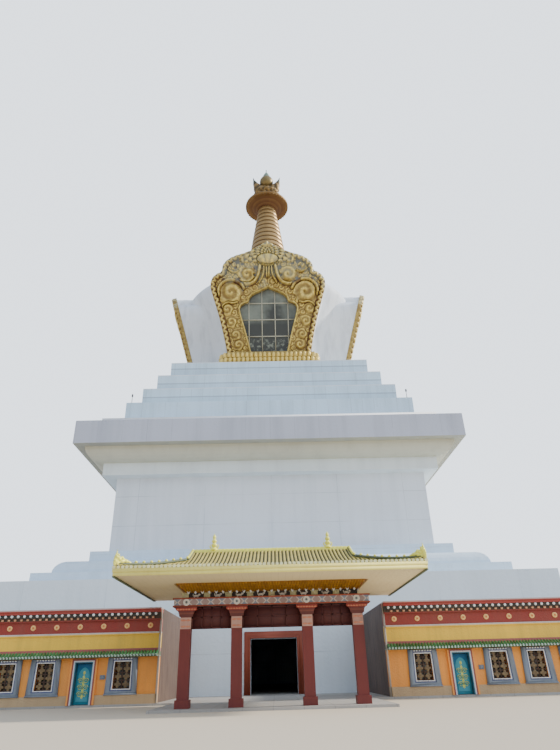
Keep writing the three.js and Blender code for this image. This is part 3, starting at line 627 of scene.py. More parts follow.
# %% The bell's shell
bell_profile = smooth_line([
    (7.0, 29.4), (7.75, 32.4), (8.6, 35.4), (9.5, 38.0), (10.2, 39.4), (10.5, 40.35), (10.1, 40.95),
    (9.4, 41.4), (7.9, 42.1), (5.97, 42.8), (3.66, 43.35), (0.0, 43.6),
], 72)
BELL_TURNS = 128
shell = lathe(bell_profile, BELL_TURNS)
middle = shell[0][shell[1]].mean(axis=1)
across = np.minimum(np.abs(middle[:, 0]), np.abs(middle[:, 1]))
up_the_side = WINDOW_EDGE[:3]
jamb = np.interp(middle[:, 2], up_the_side[:, 1], up_the_side[:, 0])
opening_half = np.where(middle[:, 2] < 35.75, jamb, 2.9)
in_window = (middle[:, 2] > 31.3) & (middle[:, 2] < 37.6) & (across < opening_half + 0.1)
bell_shell = piece(
    "bell_shell", (shell[0], shell[1][~in_window]), white_bell, stands_for=["bell"],
    smooth=50,
)
wall = bell_shell.modifiers.new("wall", "SOLIDIFY")
wall.thickness, wall.offset = 0.4 * HALF_SIZE, -1
print("cells left out for the four windows:", int(in_window.sum()))

# %% [markdown]
# Each window stands in a white casing that reaches from the bell out to the back of the
# gilded frame. It is one ring-shaped section, outer skin and tunnel, carried along the
# frame's outline. Its flanks have very shallow upright waves, as hand-laid plaster has.

# %% Window casings
def casing(outer_edge, tunnel_edge, depth, steps=120, layers=12):
    """Rows run along the outline and columns round the section: out along the casing's skin
    from back to front, then back along the tunnel. The skin swells by 3 cm in slow waves."""
    outer = smooth_line(both_sides(outer_edge), steps)
    inner = smooth_line(both_sides(tunnel_edge), steps)
    back = np.linspace(depth, 0.52, layers)
    wave = 0.03 * np.sin(back[None] * 5.2) * np.sign(outer[:, :1])
    walls = [
        np.stack([x, -plane_out(edge[:, 1:]) + back, edge[:, 1:] + 0 * back], -1)
        for edge, x in ((outer, outer[:, :1] + wave), (inner, inner[:, :1] + 0 * back))
    ]
    ring = np.concatenate([walls[0], walls[1][:, ::-1]], axis=1)
    points, faces = grid(ring, ring=True)
    row = 2 * layers
    near = np.arange(layers - 1)
    foot = np.stack([near, near + 1, row - 2 - near, row - 1 - near], -1)
    return points, np.concatenate([faces, foot, foot + len(points) - row])


inset = np.column_stack([FRAME_EDGE[:, 0] - 0.12, FRAME_EDGE[:, 1] - 0.1])
inset[0, 1], inset[-1, 0] = FLOOR + 0.05, 0
tunnel = WINDOW_EDGE * (1.08, 1) + (0, 0.12)
tunnel[0, 1] = FLOOR + 0.05
casings = on_sides(casing(inset, tunnel, 6.0))
piece("window_casings", casings, white_bell, smooth=40)

# %% [markdown]
# The panes are glass behind a grid of pale bars, painted dark green-grey as the shade of the rooms
# behind them. The upper middle panes are a little lighter, and pale leaf shapes show faintly behind
# the lowest ones. The bars are thin blocks that lean with the plane, and their ends run in behind
# the gilded frame.

# %% Glass and bars
GLASS_ROUGHNESS = 0.16


def glass_and_room_shade(n):
    """Dark green-grey, which is painted shade of the room behind the glass, lighter above 34.3 m
    where a slow noise is high, with pale flecks of fine noise below 33 m."""
    place = n.place()
    height = n.axes(place)[2]
    cloud = n.ramp(n.noise(place, 0.9, 3.0), 0.3, 0.62)
    upper = n.maths("MULTIPLY", n.ramp(height, 34.3 * HALF_SIZE, 35.0 * HALF_SIZE), cloud)
    base = n.mixed(n.maths("MULTIPLY", upper, 0.8), shade(66, 66, 58), shade(140, 146, 132))
    fleck = n.ramp(n.noise(place, 4.6, 5.0, 0.7), 0.5, 0.6)
    low = n.maths("SUBTRACT", 1.0, n.ramp(height, 32.5 * HALF_SIZE, 33.0 * HALF_SIZE))
    shown = n.maths("MULTIPLY", n.maths("MULTIPLY", fleck, low), 0.6)
    return n.mixed(shown, base, shade(162, 168, 150)), GLASS_ROUGHNESS, None


dark_glass = finish("dark window glass", glass_and_room_shade)
SIDES = ("front", "right", "back", "left")
dress([f"window_pane_{side}" for side in SIDES], dark_glass)


def leaning_bar(x0, z0, x1, z1, half=0.045, back=(-0.5, -0.4)):
    """A block between two places of the plane: its eight corners are moved onto the plane."""
    low = (min(x0, x1) - half, back[0], min(z0, z1) - half)
    high = (max(x0, x1) + half, back[1], max(z0, z1) + half)
    points, faces = block(low, high)
    return on_plane(points[:, 0], points[:, 2], points[:, 1]), faces


bar_tops = ((-2.1, 36.8), (-0.7, 37.9), (0.7, 37.9), (2.1, 36.8))
uprights = [leaning_bar(x, 31.2, x, high) for x, high in bar_tops]
levels = [leaning_bar(-half, z, half, z) for z, half in ((32.9, 2.5), (34.7, 3.0), (36.5, 2.9))]
cream_paint = plain_paint("cream paint", (196, 192, 168), (150, 146, 128), 0.2, 0.2, 3.0)
piece("window_bars", on_sides(joined(*uprights, *levels)), cream_paint, smooth=0)


# %% [markdown]
# ## The gilded frames
# Each window has a carved and gilded frame: an outer rope of leaves, a field of volutes and
# curls, and a smooth moulding at the glass. It could be sculpted by hand, but at this size
# a height over a flat band reads the same and can be written down. The band runs between
# two outlines. Every curl is a spiral ridge round its own centre, each place belongs to the
# nearest curl, and the gaps between curls become the dark ground.

# %% The band between the two outlines
EDGE_KEYS = np.array(
    [0, 0.12, 0.25, 0.37, 0.43, 0.48, 0.52, 0.56, 0.6, 0.64, 0.69, 0.75, 0.8, 0.85, 0.93, 1]
)
WINDOW_KEYS = np.array([0, 0.13, 0.3, 0.35, 0.4, 0.48, 0.55, 0.62, 0.72, 0.86, 0.93, 1])
ROWS, COLUMNS = 640, 58


def keyed_line(corners, keys, at):
    """The outline with its corners rounded, read where its own running key equals `at`."""
    line = np.column_stack([corners, keys])
    for _ in range(3):
        line = rounded(line)
    return np.stack([np.interp(at, line[:, 2], line[:, i]) for i in (0, 1)], -1)


along = np.linspace(-1, 1, ROWS)
side = np.where(along < 0, -1.0, 1.0)[:, None]
mirror = np.hstack([side, side**2])
outer_line = keyed_line(FRAME_EDGE, EDGE_KEYS, 1 - np.abs(along)) * mirror
inner_line = keyed_line(WINDOW_EDGE, WINDOW_KEYS, 1 - np.abs(along)) * mirror
share = np.linspace(0, 1, COLUMNS)[None, :, None]
band = outer_line[:, None] * (1 - share) + inner_line[:, None] * share
print("places on one frame's face:", band.shape[0] * band.shape[1])


# %% Distances and strokes
def from_line(places, line):
    """Distance from every place to a line of short edges, and how far along the line its
    nearest point lies. Each edge is tried with the foot of the perpendicular held inside."""
    start, edge = line[:-1], np.diff(line, axis=0)
    long = np.linalg.norm(edge, axis=1)
    gone = np.concatenate([[0], np.cumsum(long)[:-1]])
    rel = places[..., None, :] - start
    foot = np.clip((rel * edge).sum(-1) / np.maximum(long, 1e-9) ** 2, 0, 1)
    apart = np.linalg.norm(rel - foot[..., None] * edge, axis=-1)
    best = apart.argmin(-1)
    pick = lambda values: np.take_along_axis(values, best[..., None], -1)[..., 0]
    return pick(apart), pick(gone + foot * long)


def mirrored(rows):
    """Rows of (x, ...) and the same rows with x turned to the other side."""
    rows = np.asarray(rows, float)
    return np.concatenate([rows, rows * np.r_[-1, np.ones(rows.shape[-1] - 1)]])


# %% [markdown]
# The large volutes and the boss were placed by their centres in the photograph. Small curls
# fill what is left, on a slightly disturbed honeycomb, so no two neighbours line up.

# %% Centres of the curls
# Each row is centre x, centre z, radius, spiral pitch, and how far the curl stands out.
volutes = mirrored([
    (4.02, 37.65, 1.38, 0.86, 0.46), (2.22, 39.62, 1.0, 0.64, 0.44),
    (4.42, 35.84, 0.66, 0.50, 0.36), (3.97, 34.43, 0.62, 0.46, 0.34),
    (3.55, 33.04, 0.56, 0.42, 0.34), (3.25, 31.95, 0.60, 0.46, 0.34),
    (0.52, 38.92, 0.42, 0.34, 0.20), (1.42, 38.2, 0.34, 0.28, 0.16),
    (2.35, 37.75, 0.36, 0.28, 0.16), (2.72, 37.05, 0.34, 0.28, 0.16),
    (3.55, 36.35, 0.36, 0.30, 0.16), (3.6, 40.75, 0.5, 0.36, 0.24),
])
boss = np.array([(0.0, 41.66, 1.62, 9.0, 0.42)])
CURL_STEP = 0.56
hex_row, hex_column = np.meshgrid(np.arange(26), np.arange(-12, 13), indexing="ij")
hex_x, hex_z = (hex_column + 0.5 * (hex_row % 2)) * CURL_STEP, 31.1 + hex_row * CURL_STEP * 0.87
field = np.stack([hex_x, hex_z], -1).reshape(-1, 2)
field = field[field[:, 0] > 0.15]
field = field + np.random.default_rng(5).uniform(-0.1, 0.1, field.shape)
set_down = np.concatenate([volutes, boss])
room = (np.linalg.norm(field[:, None] - set_down[None, :, :2], axis=-1) - set_down[:, 2]).min(1)
SMALL_CURL = (0.33, 0.27, 0.15)
small = np.column_stack([field, np.tile(SMALL_CURL, (len(field), 1))])[room > 0.16]
curls = np.concatenate([set_down, mirrored(small)])
print("curls on a frame:", len(curls))

# %% Smooth ribbons between the curls
# Each ribbon is a half width, a height and the corners of its line.
ribbons = [
    (0.17, 0.5, [
        (3.5, 38.98), (2.9, 38.62), (2.2, 38.5), (1.55, 38.72), (1.12, 39.3), (0.92, 40.1),
        (0.8, 40.75),
    ]),
    (0.15, 0.46, [
        (5.35, 37.3), (5.4, 38.1), (5.0, 38.75), (4.3, 39.12), (3.5, 39.02), (2.85, 38.6),
        (2.6, 38.1),
    ]),
    (0.09, 0.36, [(0.16, 40.75), (0.13, 40.0), (0.1, 39.35)]),
    (0.10, 0.4, [(0.42, 40.75), (0.42, 40.0), (0.6, 39.3), (0.95, 38.75)]),
    (0.10, 0.34, [(3.35, 36.6), (3.75, 36.45), (4.3, 36.62), (4.85, 36.35), (5.1, 35.8)]),
    (0.08, 0.3, [(3.2, 41.35), (2.5, 41.15), (1.9, 41.3), (1.5, 41.7)]),
    (0.09, 0.32, [(4.45, 40.45), (4.1, 40.05), (3.5, 39.85), (3.2, 40.1)]),
]
ribbons += [(wide, high, mirrored(line)[len(line):]) for wide, high, line in ribbons]
ribbons.append((0.12, 0.44, [(-1.0, 40.98), (-0.6, 40.74), (0, 40.66), (0.6, 40.74), (1.0, 40.98)]))


# %% [markdown]
# The relief is the highest of four things: the small and large curls, the ribbons, the strip of
# crossing leaves at the rim and the moulding at the window. It is set back so that its crests lie
# near the plane of the plain frame. A second number, stored with every point, says how deep in a
# groove it lies, and the gilding darkens there: painted shade and soil in the grooves, and painted
# shade towards the edges of the rounded ribbons, rope and moulding.

# %% The height over the band
def carved(places):
    """Height and groove depth over the plane. A curl is a low dome, 1.08 - (distance /
    radius) squared, with a spiral ridge: cosine of (distance / pitch - angle) full turns.
    The boss, whose pitch is the large one, has a smooth heart and flames round it instead."""
    rel = places[..., None, :] - curls[:, :2]
    apart = np.linalg.norm(rel, axis=-1)
    order = np.argsort(apart / curls[:, 2], axis=-1)[..., :2]
    nearest = lambda values, rank=0: np.take_along_axis(values, order[..., [rank]], -1)[..., 0]
    radius, pitch, tall = (curls[order[..., 0], i] for i in (2, 3, 4))
    distance = nearest(apart)
    angle = nearest(np.arctan2(rel[..., 1], rel[..., 0]))
    hand = np.sign(curls[order[..., 0], 0] + 1e-6)
    near = distance / radius
    gap = nearest(apart / curls[:, 2], 1) - near
    spiral = 0.5 + 0.5 * np.cos(TAU * (distance / pitch - hand * angle / TAU))
    heart = 0.45 + 0.55 * np.sqrt(np.clip(1 - (near / 0.52) ** 2, 0, 1))
    flames = np.abs(np.cos(7.5 * angle + 2.5 * hand * near)) ** 0.8 * np.clip(1.5 - near, 0, 1)
    ridge = np.where(pitch > 5, np.where(near < 0.5, heart, flames), spiral)
    dome = np.clip(1.08 - near**2, 0, 1)
    rim = np.clip(gap / 0.15, 0, 1)
    height = tall * rim * (0.45 * dome + 0.55 * ridge * np.clip(1.5 - near, 0, 1))
    depth = rim * (0.4 + 0.6 * ridge)
    depth = np.where(radius > 0.6, depth * 0.85 + 0.15 * rim, depth)
    return height, depth


# %% Ribbons, rope and moulding on top
height, depth = carved(band)
for wide, high, line in ribbons:
    off, _ = from_line(band, smooth_line(line, 24))
    crest = np.sqrt(np.clip(1 - (off / wide) ** 2, 0, 1))
    over = crest * high > height
    beside = off < wide * 1.7
    height = np.where(over, crest * high, np.where(beside, height * 0.5, height))
    # A ribbon is darker towards its edges, and the carving beside it darker still: painted shade.
    depth = np.where(over, 0.35 + 0.65 * crest, np.where(beside, depth * 0.3, depth))

# Where no carving stands, the painted ground shows as small open patches.
open_ground = mirrored([
    (3.3, 41.1, 0.26), (1.3, 40.45, 0.26), (1.85, 41.2, 0.22), (4.85, 39.1, 0.22),
    (3.15, 39.2, 0.18), (3.5, 40.45, 0.2), (2.75, 40.9, 0.2), (1.45, 39.6, 0.16),
])
from_patch = np.linalg.norm(band[..., None, :] - open_ground[:, :2], axis=-1)
patch = (from_patch / open_ground[:, 2]).min(-1)
height, depth = np.where(patch < 1, 0.02, height), np.where(patch < 1, 0.0, depth)

rim_off, rim_run = from_line(band, outer_line[::2])
LEAF_PITCH, ROPE_WIDE = 0.62, 0.5
one_way = np.cos(TAU * rim_run / LEAF_PITCH + 8.0 * rim_off)
other_way = np.cos(TAU * rim_run / LEAF_PITCH - 9.0 * rim_off + 1.4)
leaf = np.clip(np.maximum(one_way, other_way) + 0.25, 0, 1) ** 0.7
rope = np.sqrt(np.clip(1 - ((rim_off - 0.25) / 0.27) ** 2, 0, 1))
in_rope = rim_off < ROPE_WIDE
height = np.where(in_rope, 0.06 + 0.32 * rope * (0.35 + 0.65 * leaf), height)
# The rope is darker where its leaves dip and towards its edges: painted shade.
depth = np.where(in_rope, 0.12 + 0.88 * leaf * np.sqrt(rope), depth)
depth = np.where(rim_off < 0.05, 0.62, depth)
moat = (rim_off > ROPE_WIDE) & (rim_off < 0.6)
height, depth = np.where(moat, 0.02, height), np.where(moat, 0.05, depth)

# Over the rope at the peak lies a fluted lotus bud, an oval 2.3 m wide, in rows of leaf
# flames. The flutes fan out from a point below it, and each row's leaves stand in the gaps
# of the row before.
across, over_bud = band[..., 0], band[..., 1] - 41.36
oval = np.hypot(across / 1.15, over_bud / 0.6)
flutes = np.abs(np.cos(6.0 * np.arctan2(across, over_bud + 1.1))) ** 0.7
row = (oval - 1.1) / 0.4
swirl = 9.0 * np.arctan2(across, over_bud) + 0.5 * np.pi * np.floor(row)
flames = np.clip(np.abs(np.cos(swirl)) * 1.25 - 0.75 * (row % 1) ** 2, 0.0, 1) ** 0.7
bud, seam = oval < 1, (oval >= 1) & (oval < 1.1)
leaves = (oval >= 1.1) & (oval < 2.5) & (over_bud > -0.35)
bud_height = 0.25 + 0.3 * np.sqrt(np.clip(1 - oval**2, 0, 1)) * (0.6 + 0.4 * flutes)
height = np.where(leaves, 0.4 * (1.2 - 0.25 * oval) * (0.35 + 0.65 * flames), height)
depth = np.where(leaves, 0.1 + 0.9 * flames, depth)
height = np.where(bud, bud_height, np.where(seam, 0.1, height))
depth = np.where(bud, 0.4 + 0.6 * flutes, np.where(seam, 0.1, depth))

pane_off, _ = from_line(band, inner_line[::2])
moulding = np.sqrt(np.clip(1 - ((pane_off - 0.09) / 0.1) ** 2, 0, 1))
height = np.where(pane_off < 0.2, 0.12 + 0.2 * moulding, height)
# The moulding is darker towards its edges: painted shade.
depth = np.where(pane_off < 0.2, 0.2 + 0.8 * moulding, depth)
print("the carving stands out by up to", round(float(height.max()), 2), "m")

# %% [markdown]
# The face is closed into a solid band: two more columns of points lie on the back, and the
# last row at each foot is drawn together on the back plane.

# %% Closing the band and making four frames
BACK, SET_BACK = -0.5, 0.26
face = on_plane(band[..., 0], band[..., 1], height - SET_BACK)
back = on_plane(band[:, [-1, 0], 0], band[:, [-1, 0], 1], BACK)
shell = np.concatenate([face, back], axis=1)
foot = on_plane(band[[0, -1], :, 0], band[[0, -1], :, 1], BACK)
foot = np.concatenate([foot, back[[0, -1]]], axis=1)
shell = np.concatenate([foot[:1], shell, foot[1:]])
# The depth, sharpened, carries the painted shade and soil that the gilding shows.
frame_groove_shade = np.pad(depth**1.5, ((1, 1), (0, 2)), mode="edge").ravel()
gilded_band = grid(shell, ring=True)


def ground_colour(n):
    """The painted ground in the grooves: grey above 39.8 m, dark brown below 38.8 m, and
    broad noise lets each run into the other."""
    place = n.place()
    height = n.axes(place)[2]
    swing = n.maths("MULTIPLY", n.maths("SUBTRACT", n.noise(place, 1.7, 2.0), 0.5), 4.0)
    high = n.ramp(n.maths("ADD", height, swing), 38.8 * HALF_SIZE, 39.8 * HALF_SIZE)
    return n.mixed(high, shade(92, 56, 30), shade(122, 124, 118))


gilding = finish(
    "gilded carving", relief(shade(255, 226, 120), ground_colour, 0.5, 7.0), bump=0.014,
    metallic=0.12,
)
for turn, name in enumerate(SIDES):
    surface = on_sides(gilded_band, (turn,))
    piece(
        f"gilded_frame_{name}", surface, gilding, stands_for=[f"window_frame_{name}"],
        smooth=60, depth=frame_groove_shade,
    )

# %% [markdown]
# The frame stands on a lotus: two rows of rounded petals round a low plinth with half-round
# ends. One petal is a small shell with a round tip. The upper row stands up and the lower
# row hangs down.

# %% One petal and its places
def petal(wide, tall, proud, rows=9, columns=9):
    """Across it is a cosine bulge. Its half width goes as the root of 1 - height to the
    fourth, so the tip is round, and a bell curve raises the heart of the petal again."""
    across, up = np.meshgrid(np.linspace(-1, 1, columns), np.linspace(0, 1, rows))
    half = wide / 2 * np.sqrt(np.clip(1 - (up * 0.98) ** 4, 0, 1))
    heart = 0.3 * np.exp(-((across / 0.45) ** 2) - ((up - 0.42) / 0.3) ** 2)
    swell = np.sqrt(np.clip(np.sin(np.pi * (0.12 + up * 0.8)), 0, 1))
    out = proud * (np.cos(across * np.pi / 2) ** 0.6 * swell + heart)
    points = np.stack([across * half, -out, up * tall], -1)
    # These light values are painted shade: each petal is darker at its sides and towards its tip,
    # and lighter at its heart.
    light = 0.4 + 0.6 * np.clip(np.cos(across * 1.3) * (1.2 - up * 0.35) + heart, 0, 1)
    return grid(points), light.ravel()


def lotus_path(half, deep, pitch):
    """Places and facing angles at equal steps along the front and both half-round ends."""
    turn = np.linspace(0, np.pi, 24)
    left = np.column_stack([-half - deep * np.sin(turn), deep * np.cos(turn)])[::-1]
    right = np.column_stack([half + deep * np.sin(turn), -deep * np.cos(turn)])
    line = np.concatenate([left * (1, -1), right])
    gone = np.concatenate([[0], np.cumsum(np.linalg.norm(np.diff(line, axis=0), axis=1))])
    count = int(gone[-1] / pitch)
    at = (np.arange(count) + 0.5) * gone[-1] / count
    here = np.stack([np.interp(at, gone, line[:, i]) for i in (0, 1)], -1)
    ahead = np.stack([np.interp(at + 0.01, gone, line[:, i]) for i in (0, 1)], -1)
    return here, np.arctan2(*(ahead - here).T[::-1])


# %% Rows of petals
lotus_half, lotus_deep, lotus_middle = 4.27, 0.72, -8.33
# The lights lists gather painted shade for each part, which the gilding reads as its depth.
parts, lights = [], []
petal_rows = ((0.46, 0.6, 30.34, 1, 0.06), (0.44, 0.62, 30.24, -1, 0.14))
for wide, tall, base, flip, grow in petal_rows:
    surface, light = petal(wide, tall, 0.24)
    surface = (surface[0] * (1, 1, flip), surface[1])
    places, facing = lotus_path(lotus_half, lotus_deep + grow, wide)
    places = np.column_stack(
        [places[:, 0], places[:, 1] + lotus_middle, np.full(len(places), base)]
    )
    parts.append(copies(surface, places, turned_z(facing)))
    lights.append(np.tile(light, len(places)))
core_line, _ = lotus_path(lotus_half, lotus_deep - 0.04, 0.2)
core_rows = [
    (29.4, 0.1), (30.1, 0.06), (30.2, 0.0), (30.3, 0.02), (30.96, 0.08), (31.1, -0.3), (31.1, -0.7)
]
core = np.stack([
    np.column_stack([core_line * (1 + grow / 5), np.full(len(core_line), z)])
    for z, grow in core_rows
]) + (0, lotus_middle, 0)
parts.append(grid(core))
# The plinth among the petals gets a low value: painted shade.
lights.append(np.full(core.shape[0] * core.shape[1], 0.3))
lotus = joined(*parts)
petal_gold = gilt(
    "lotus gilding", (255, 226, 128), (126, 92, 36), 0.2, 14.0, bump=0.01, metallic=0.12
)
piece(
    "lotus_bases", on_sides(lotus), petal_gold, smooth=60,
    depth=np.tile(np.concatenate(lights), 4),
)


# %% [markdown]
# ## The spire
# Thirteen gilded copper rings taper to a wide parasol, and a crown with a jewel stands on it. Each
# ring bulges, and a narrow groove, darkened as painted shade and soil, parts it from the next. One
# profile turned round the axis gives all thirteen, where a torus a ring would leave gaps to hide.

# %% Thirteen rings
RING_FOOT, RING_TOP, RING_COUNT = 49.27, 59.62, 13
pitch = (RING_TOP - RING_FOOT) / RING_COUNT
bulge = np.array([
    (0.0, -0.13), (0.05, -0.06), (0.16, -0.01), (0.4, 0.03), (0.66, 0.02), (0.84, -0.02),
    (0.95, -0.08), (1.0, -0.13),
])
ring_z = RING_FOOT + pitch * (np.arange(RING_COUNT)[:, None] + bulge[None, :, 0])
FOOT_RADIUS, TOP_RADIUS = 2.68, 1.2
ring_r = np.interp(ring_z, [RING_FOOT, RING_TOP], [FOOT_RADIUS, TOP_RADIUS]) + bulge[None, :, 1]
rings = np.column_stack([ring_r.ravel(), ring_z.ravel()])
rings = np.concatenate([[(0, RING_FOOT)], rings, [(0, RING_TOP)]])
# The grooves between the rings are darkened: painted shade and soil.
ring_groove_shade = np.tile(np.clip((bulge[:, 1] + 0.09) / 0.09, 0, 1), RING_COUNT)
TURNS = 64
ring_depth = np.repeat(np.r_[0, ring_groove_shade, 0], TURNS)
ring_gold = gilt("ring gilding", (178, 144, 92), (50, 35, 19), 0.15, 2.5, bump=0.006, metallic=0.6)
piece(
    "spire_bands", lathe(rings, TURNS), ring_gold, stands_for=["spire_rings"],
    smooth=60, depth=ring_depth,
)

# %% [markdown]
# The parasol is a shallow cone. Its copper underside steps down to the rings and is a darker
# red-brown than its rim, as painted shade under the parasol, and its rim is thin.

# %% The parasol
under = [
    (0, 59.5), (1.24, 59.5), (1.36, 59.62), (1.56, 59.72), (1.6, 59.8), (2.05, 59.98), (2.1, 60.05),
    (2.6, 60.14),
]
rim = [
    (2.72, 60.1), (2.92, 60.08), (3.02, 60.18), (3.02, 60.36), (2.92, 60.5), (2.3, 60.8),
    (1.9, 60.95), (1.5, 61.22), (0, 61.22),
]
parasol_copper = gilt(
    "parasol copper", (160, 128, 70), (98, 62, 34), 0.35, 3.2, bump=0.006, metallic=0.55
)
# The underside's low values darken it as painted shade under the parasol.
under_depth = [0.05, 0.05, 0.1, 0.25, 0.0, 0.3, 0.05, 0.3, 0.5, 0.35]
parasol_depth = np.repeat(np.r_[under_depth, np.full(len(rim) - 2, 0.6)], TURNS)
piece(
    "parasol_disc", lathe(under + rim, TURNS), parasol_copper, stands_for=["parasol"],
    smooth=50, depth=parasol_depth,
)

DROPS, DROP_RADIUS = 40, 2.94
drop_angle = np.arange(DROPS) * TAU / DROPS
drop_places = [(DROP_RADIUS * np.cos(a), DROP_RADIUS * np.sin(a), 60.12) for a in drop_angle]
drop = lathe([(0, -0.16), (0.05, -0.12), (0.075, -0.04), (0.05, 0.02), (0, 0.04)], 6)
drop_depth = np.full(DROPS * len(drop[0]), 0.4)
piece("parasol_beads", copies(drop, drop_places), ring_gold, depth=drop_depth)

# %% [markdown]
# The crown is a lotus cup, a crescent moon that lies on it with its tips up, a sun in the crescent,
# and a jewel on top. The cup is a turned body with a relief: waves round and up cross each other,
# and the dips are darkened as painted shade and soil.

# %% The crown's cup
def scrolled_lathe(profile, turns, around, up, deep):
    """A turned body whose radius is changed by cos(around a + swirl) cos(up z + swirl). The change
    also gives the groove depth, which darkens the dips as painted shade and soil."""
    points, faces = lathe(profile, turns)
    angle = np.arctan2(points[:, 1], points[:, 0])
    climb = up * points[:, 2]
    wave = np.cos(around * angle + 1.3 * np.sin(climb))
    wave = wave * np.cos(climb + 0.8 * np.cos(around / 2 * angle))
    radius = np.hypot(points[:, 0], points[:, 1])
    swell = 1 + deep * wave * np.clip(radius, 0, 1) / np.maximum(radius, 0.3)
    return (points * np.column_stack([swell, swell, swell * 0 + 1]), faces), 0.5 + 0.5 * wave


cup_line = smooth_line([
    (0, 61.2), (1.5, 61.2), (1.3, 61.5), (1.35, 61.8), (1.8, 62.3), (1.85, 62.65), (1.6, 62.85),
    (0, 62.95),
], 40)
cup, cup_depth = scrolled_lathe(cup_line, 96, 14, 8.0, 0.1)
crown_gold = gilt("crown gilding", (176, 142, 84), (62, 50, 32), 0.35, 7.0, bump=0.01, metallic=0.5)
piece("crown_cup", cup, crown_gold, stands_for=["crown"], smooth=60, depth=cup_depth)


# %% The crescent moon
def crescent(outer, inner, deep, count=90, layers=13):
    """Both outlines run from tip to tip. A row joins their matching points over the front and back
    as an oval of half depth `deep` times the root of the row's own width, so the tips are thin. A
    wave along the crescent is carved into its faces, and its dips are darkened as painted shade."""
    out, ins = smooth_line(outer, count), smooth_line(inner, count)
    around = np.arange(2 * layers) * TAU / (2 * layers)
    middle, half = (out + ins) / 2, (out - ins) / 2
    wide = np.linalg.norm(half, axis=1)[:, None]
    carve = np.cos(np.linspace(-1, 1, count)[:, None] * 26 + 2.5 * np.cos(around))
    carve = carve * np.abs(np.sin(around)) * 0.07
    thick = deep * np.sqrt(wide) * np.sin(around) * (1 + carve * 2)
    x = middle[:, :1] + half[:, :1] * np.cos(around)
    z = middle[:, 1:] + half[:, 1:] * np.cos(around)
    return grid(np.stack([x, thick, z], -1), ring=True), (0.55 + 6 * carve).ravel()


moon_outer = np.array([
    (-1.99, 66.2), (-1.94, 65.4), (-1.98, 64.8), (-1.85, 64.1), (-1.9, 63.6), (-1.55, 63.0),
    (-0.9, 62.65), (0, 62.55),
])
moon_inner = np.array([
    (-1.97, 66.2), (-1.76, 65.66), (-1.5, 65.3), (-1.2, 64.95), (-0.95, 64.75), (-0.7, 64.55),
    (-0.4, 64.4), (0, 64.35),
])
moon, moon_depth = crescent(both_sides(moon_outer), both_sides(moon_inner), 0.62)


def moon_colour(n):
    """Gilt low on the crescent, which gives way to dark slate-green on its horns."""
    height = n.axes()[2]
    return n.mixed(
        n.ramp(height, 64.5 * HALF_SIZE, 65.1 * HALF_SIZE), shade(170, 136, 80), shade(86, 104, 92)
    )


moon_gold = finish(
    "crescent gilding", relief(moon_colour, shade(56, 48, 34), 0.3, 7.0), bump=0.01, metallic=0.4
)
piece("crown_crescent", moon, moon_gold, smooth=60, depth=moon_depth)

# %% Sun and jewel
sun_angle = np.linspace(-np.pi / 2, np.pi / 2, 22)
sun_line = np.column_stack([0.98 * np.cos(sun_angle), 65.24 + 1.0 * np.sin(sun_angle)])
sun_line[[0, -1], 0] = 0
sun_gold = gilt(
    "sun gilding", (142, 122, 78), (84, 68, 40), 0.3, 3.0, stored=False, bump=0.006, metallic=0.6
)
piece("crown_sun", lathe(sun_line, 40), sun_gold, smooth=50)
jewel = [
    (0, 65.95), (0.5, 66.1), (0.5, 66.42), (0.32, 66.85), (0.14, 67.2), (0.05, 67.35),
    (0.05, 67.55), (0.09, 67.62), (0.07, 67.72), (0, 67.84),
]
jewel_glass = plain_paint(
    "pale green jewel", (112, 136, 112), (76, 92, 74), 0.1, 0.2, 5.0, Coat_Weight=0.8
)
piece("crown_jewel", lathe(jewel, 24), jewel_glass, smooth=45)

# %% [markdown]
# Behind the gilded frames the square seat of the spire is gilded too. Panels with a raised
# edge and a row of lotus petals under its cornice break up its plain sides.

# %% The square seat
seat_gold = gilt(
    "seat gilding", (214, 176, 100), (96, 66, 30), 0.4, 5.0, stored=False, bump=0.01, metallic=0.55
)
dress(["harmika"], seat_gold)
EDGE_OUT, EDGE_IN = -2.52, -2.44
edge_strips = (
    (-2.1, 44.6, 2.1, 44.75), (-2.1, 46.35, 2.1, 46.5), (-2.1, 44.75, -1.95, 46.35),
    (1.95, 44.75, 2.1, 46.35)
)
panel = joined(*[block((x0, EDGE_OUT, z0), (x1, EDGE_IN, z1)) for x0, z0, x1, z1 in edge_strips])
seat_leaf, leaf_light = petal(0.44, 0.46, 0.14, 6, 7)
leaf_at = [(x, -2.62, 46.92) for x in np.linspace(-2.3, 2.3, 11)]
seat_work = on_sides(joined(panel, copies(seat_leaf, leaf_at)))
# The seat's petals keep their painted shade.
seat_depth = np.tile(np.r_[np.full(len(panel[0]), 0.9), np.tile(leaf_light, len(leaf_at))], 4)
piece("seat_panels", seat_work, crown_gold, depth=seat_depth)


# %% [markdown]
# ## The painted ground storey
# The low wings carry level bands of paint: a stone foot, orange walls, a yellow-ochre band,
# a maroon frieze with gilt discs, two rows of painted beam ends and a pale coping. The
# solids hold the mouldings. The paint changes at their heights, so one finish that reads
# the height does for every wall, and nothing has to be cut up.

# %% Banded wall paint
stone, orange = shade(196, 166, 124), shade(255, 164, 66)
pink, ochre, string = shade(172, 96, 84), shade(255, 206, 66), shade(214, 200, 192)
maroon, soot, dark_green = shade(152, 50, 38), shade(70, 48, 34), shade(36, 38, 32)
red, coping, tile_green = shade(178, 64, 54), shade(206, 180, 172), shade(48, 100, 62)
bands = [
    (0.52, orange), (2.19, tile_green), (2.43, pink), (2.59, ochre), (3.28, string), (3.35, maroon),
    (3.97, soot), (4.09, dark_green), (4.27, red), (4.44, coping),
]


TILE_PITCH, EAVE_EDGE, TIP_HALF = 0.16, 2.235, 0.03


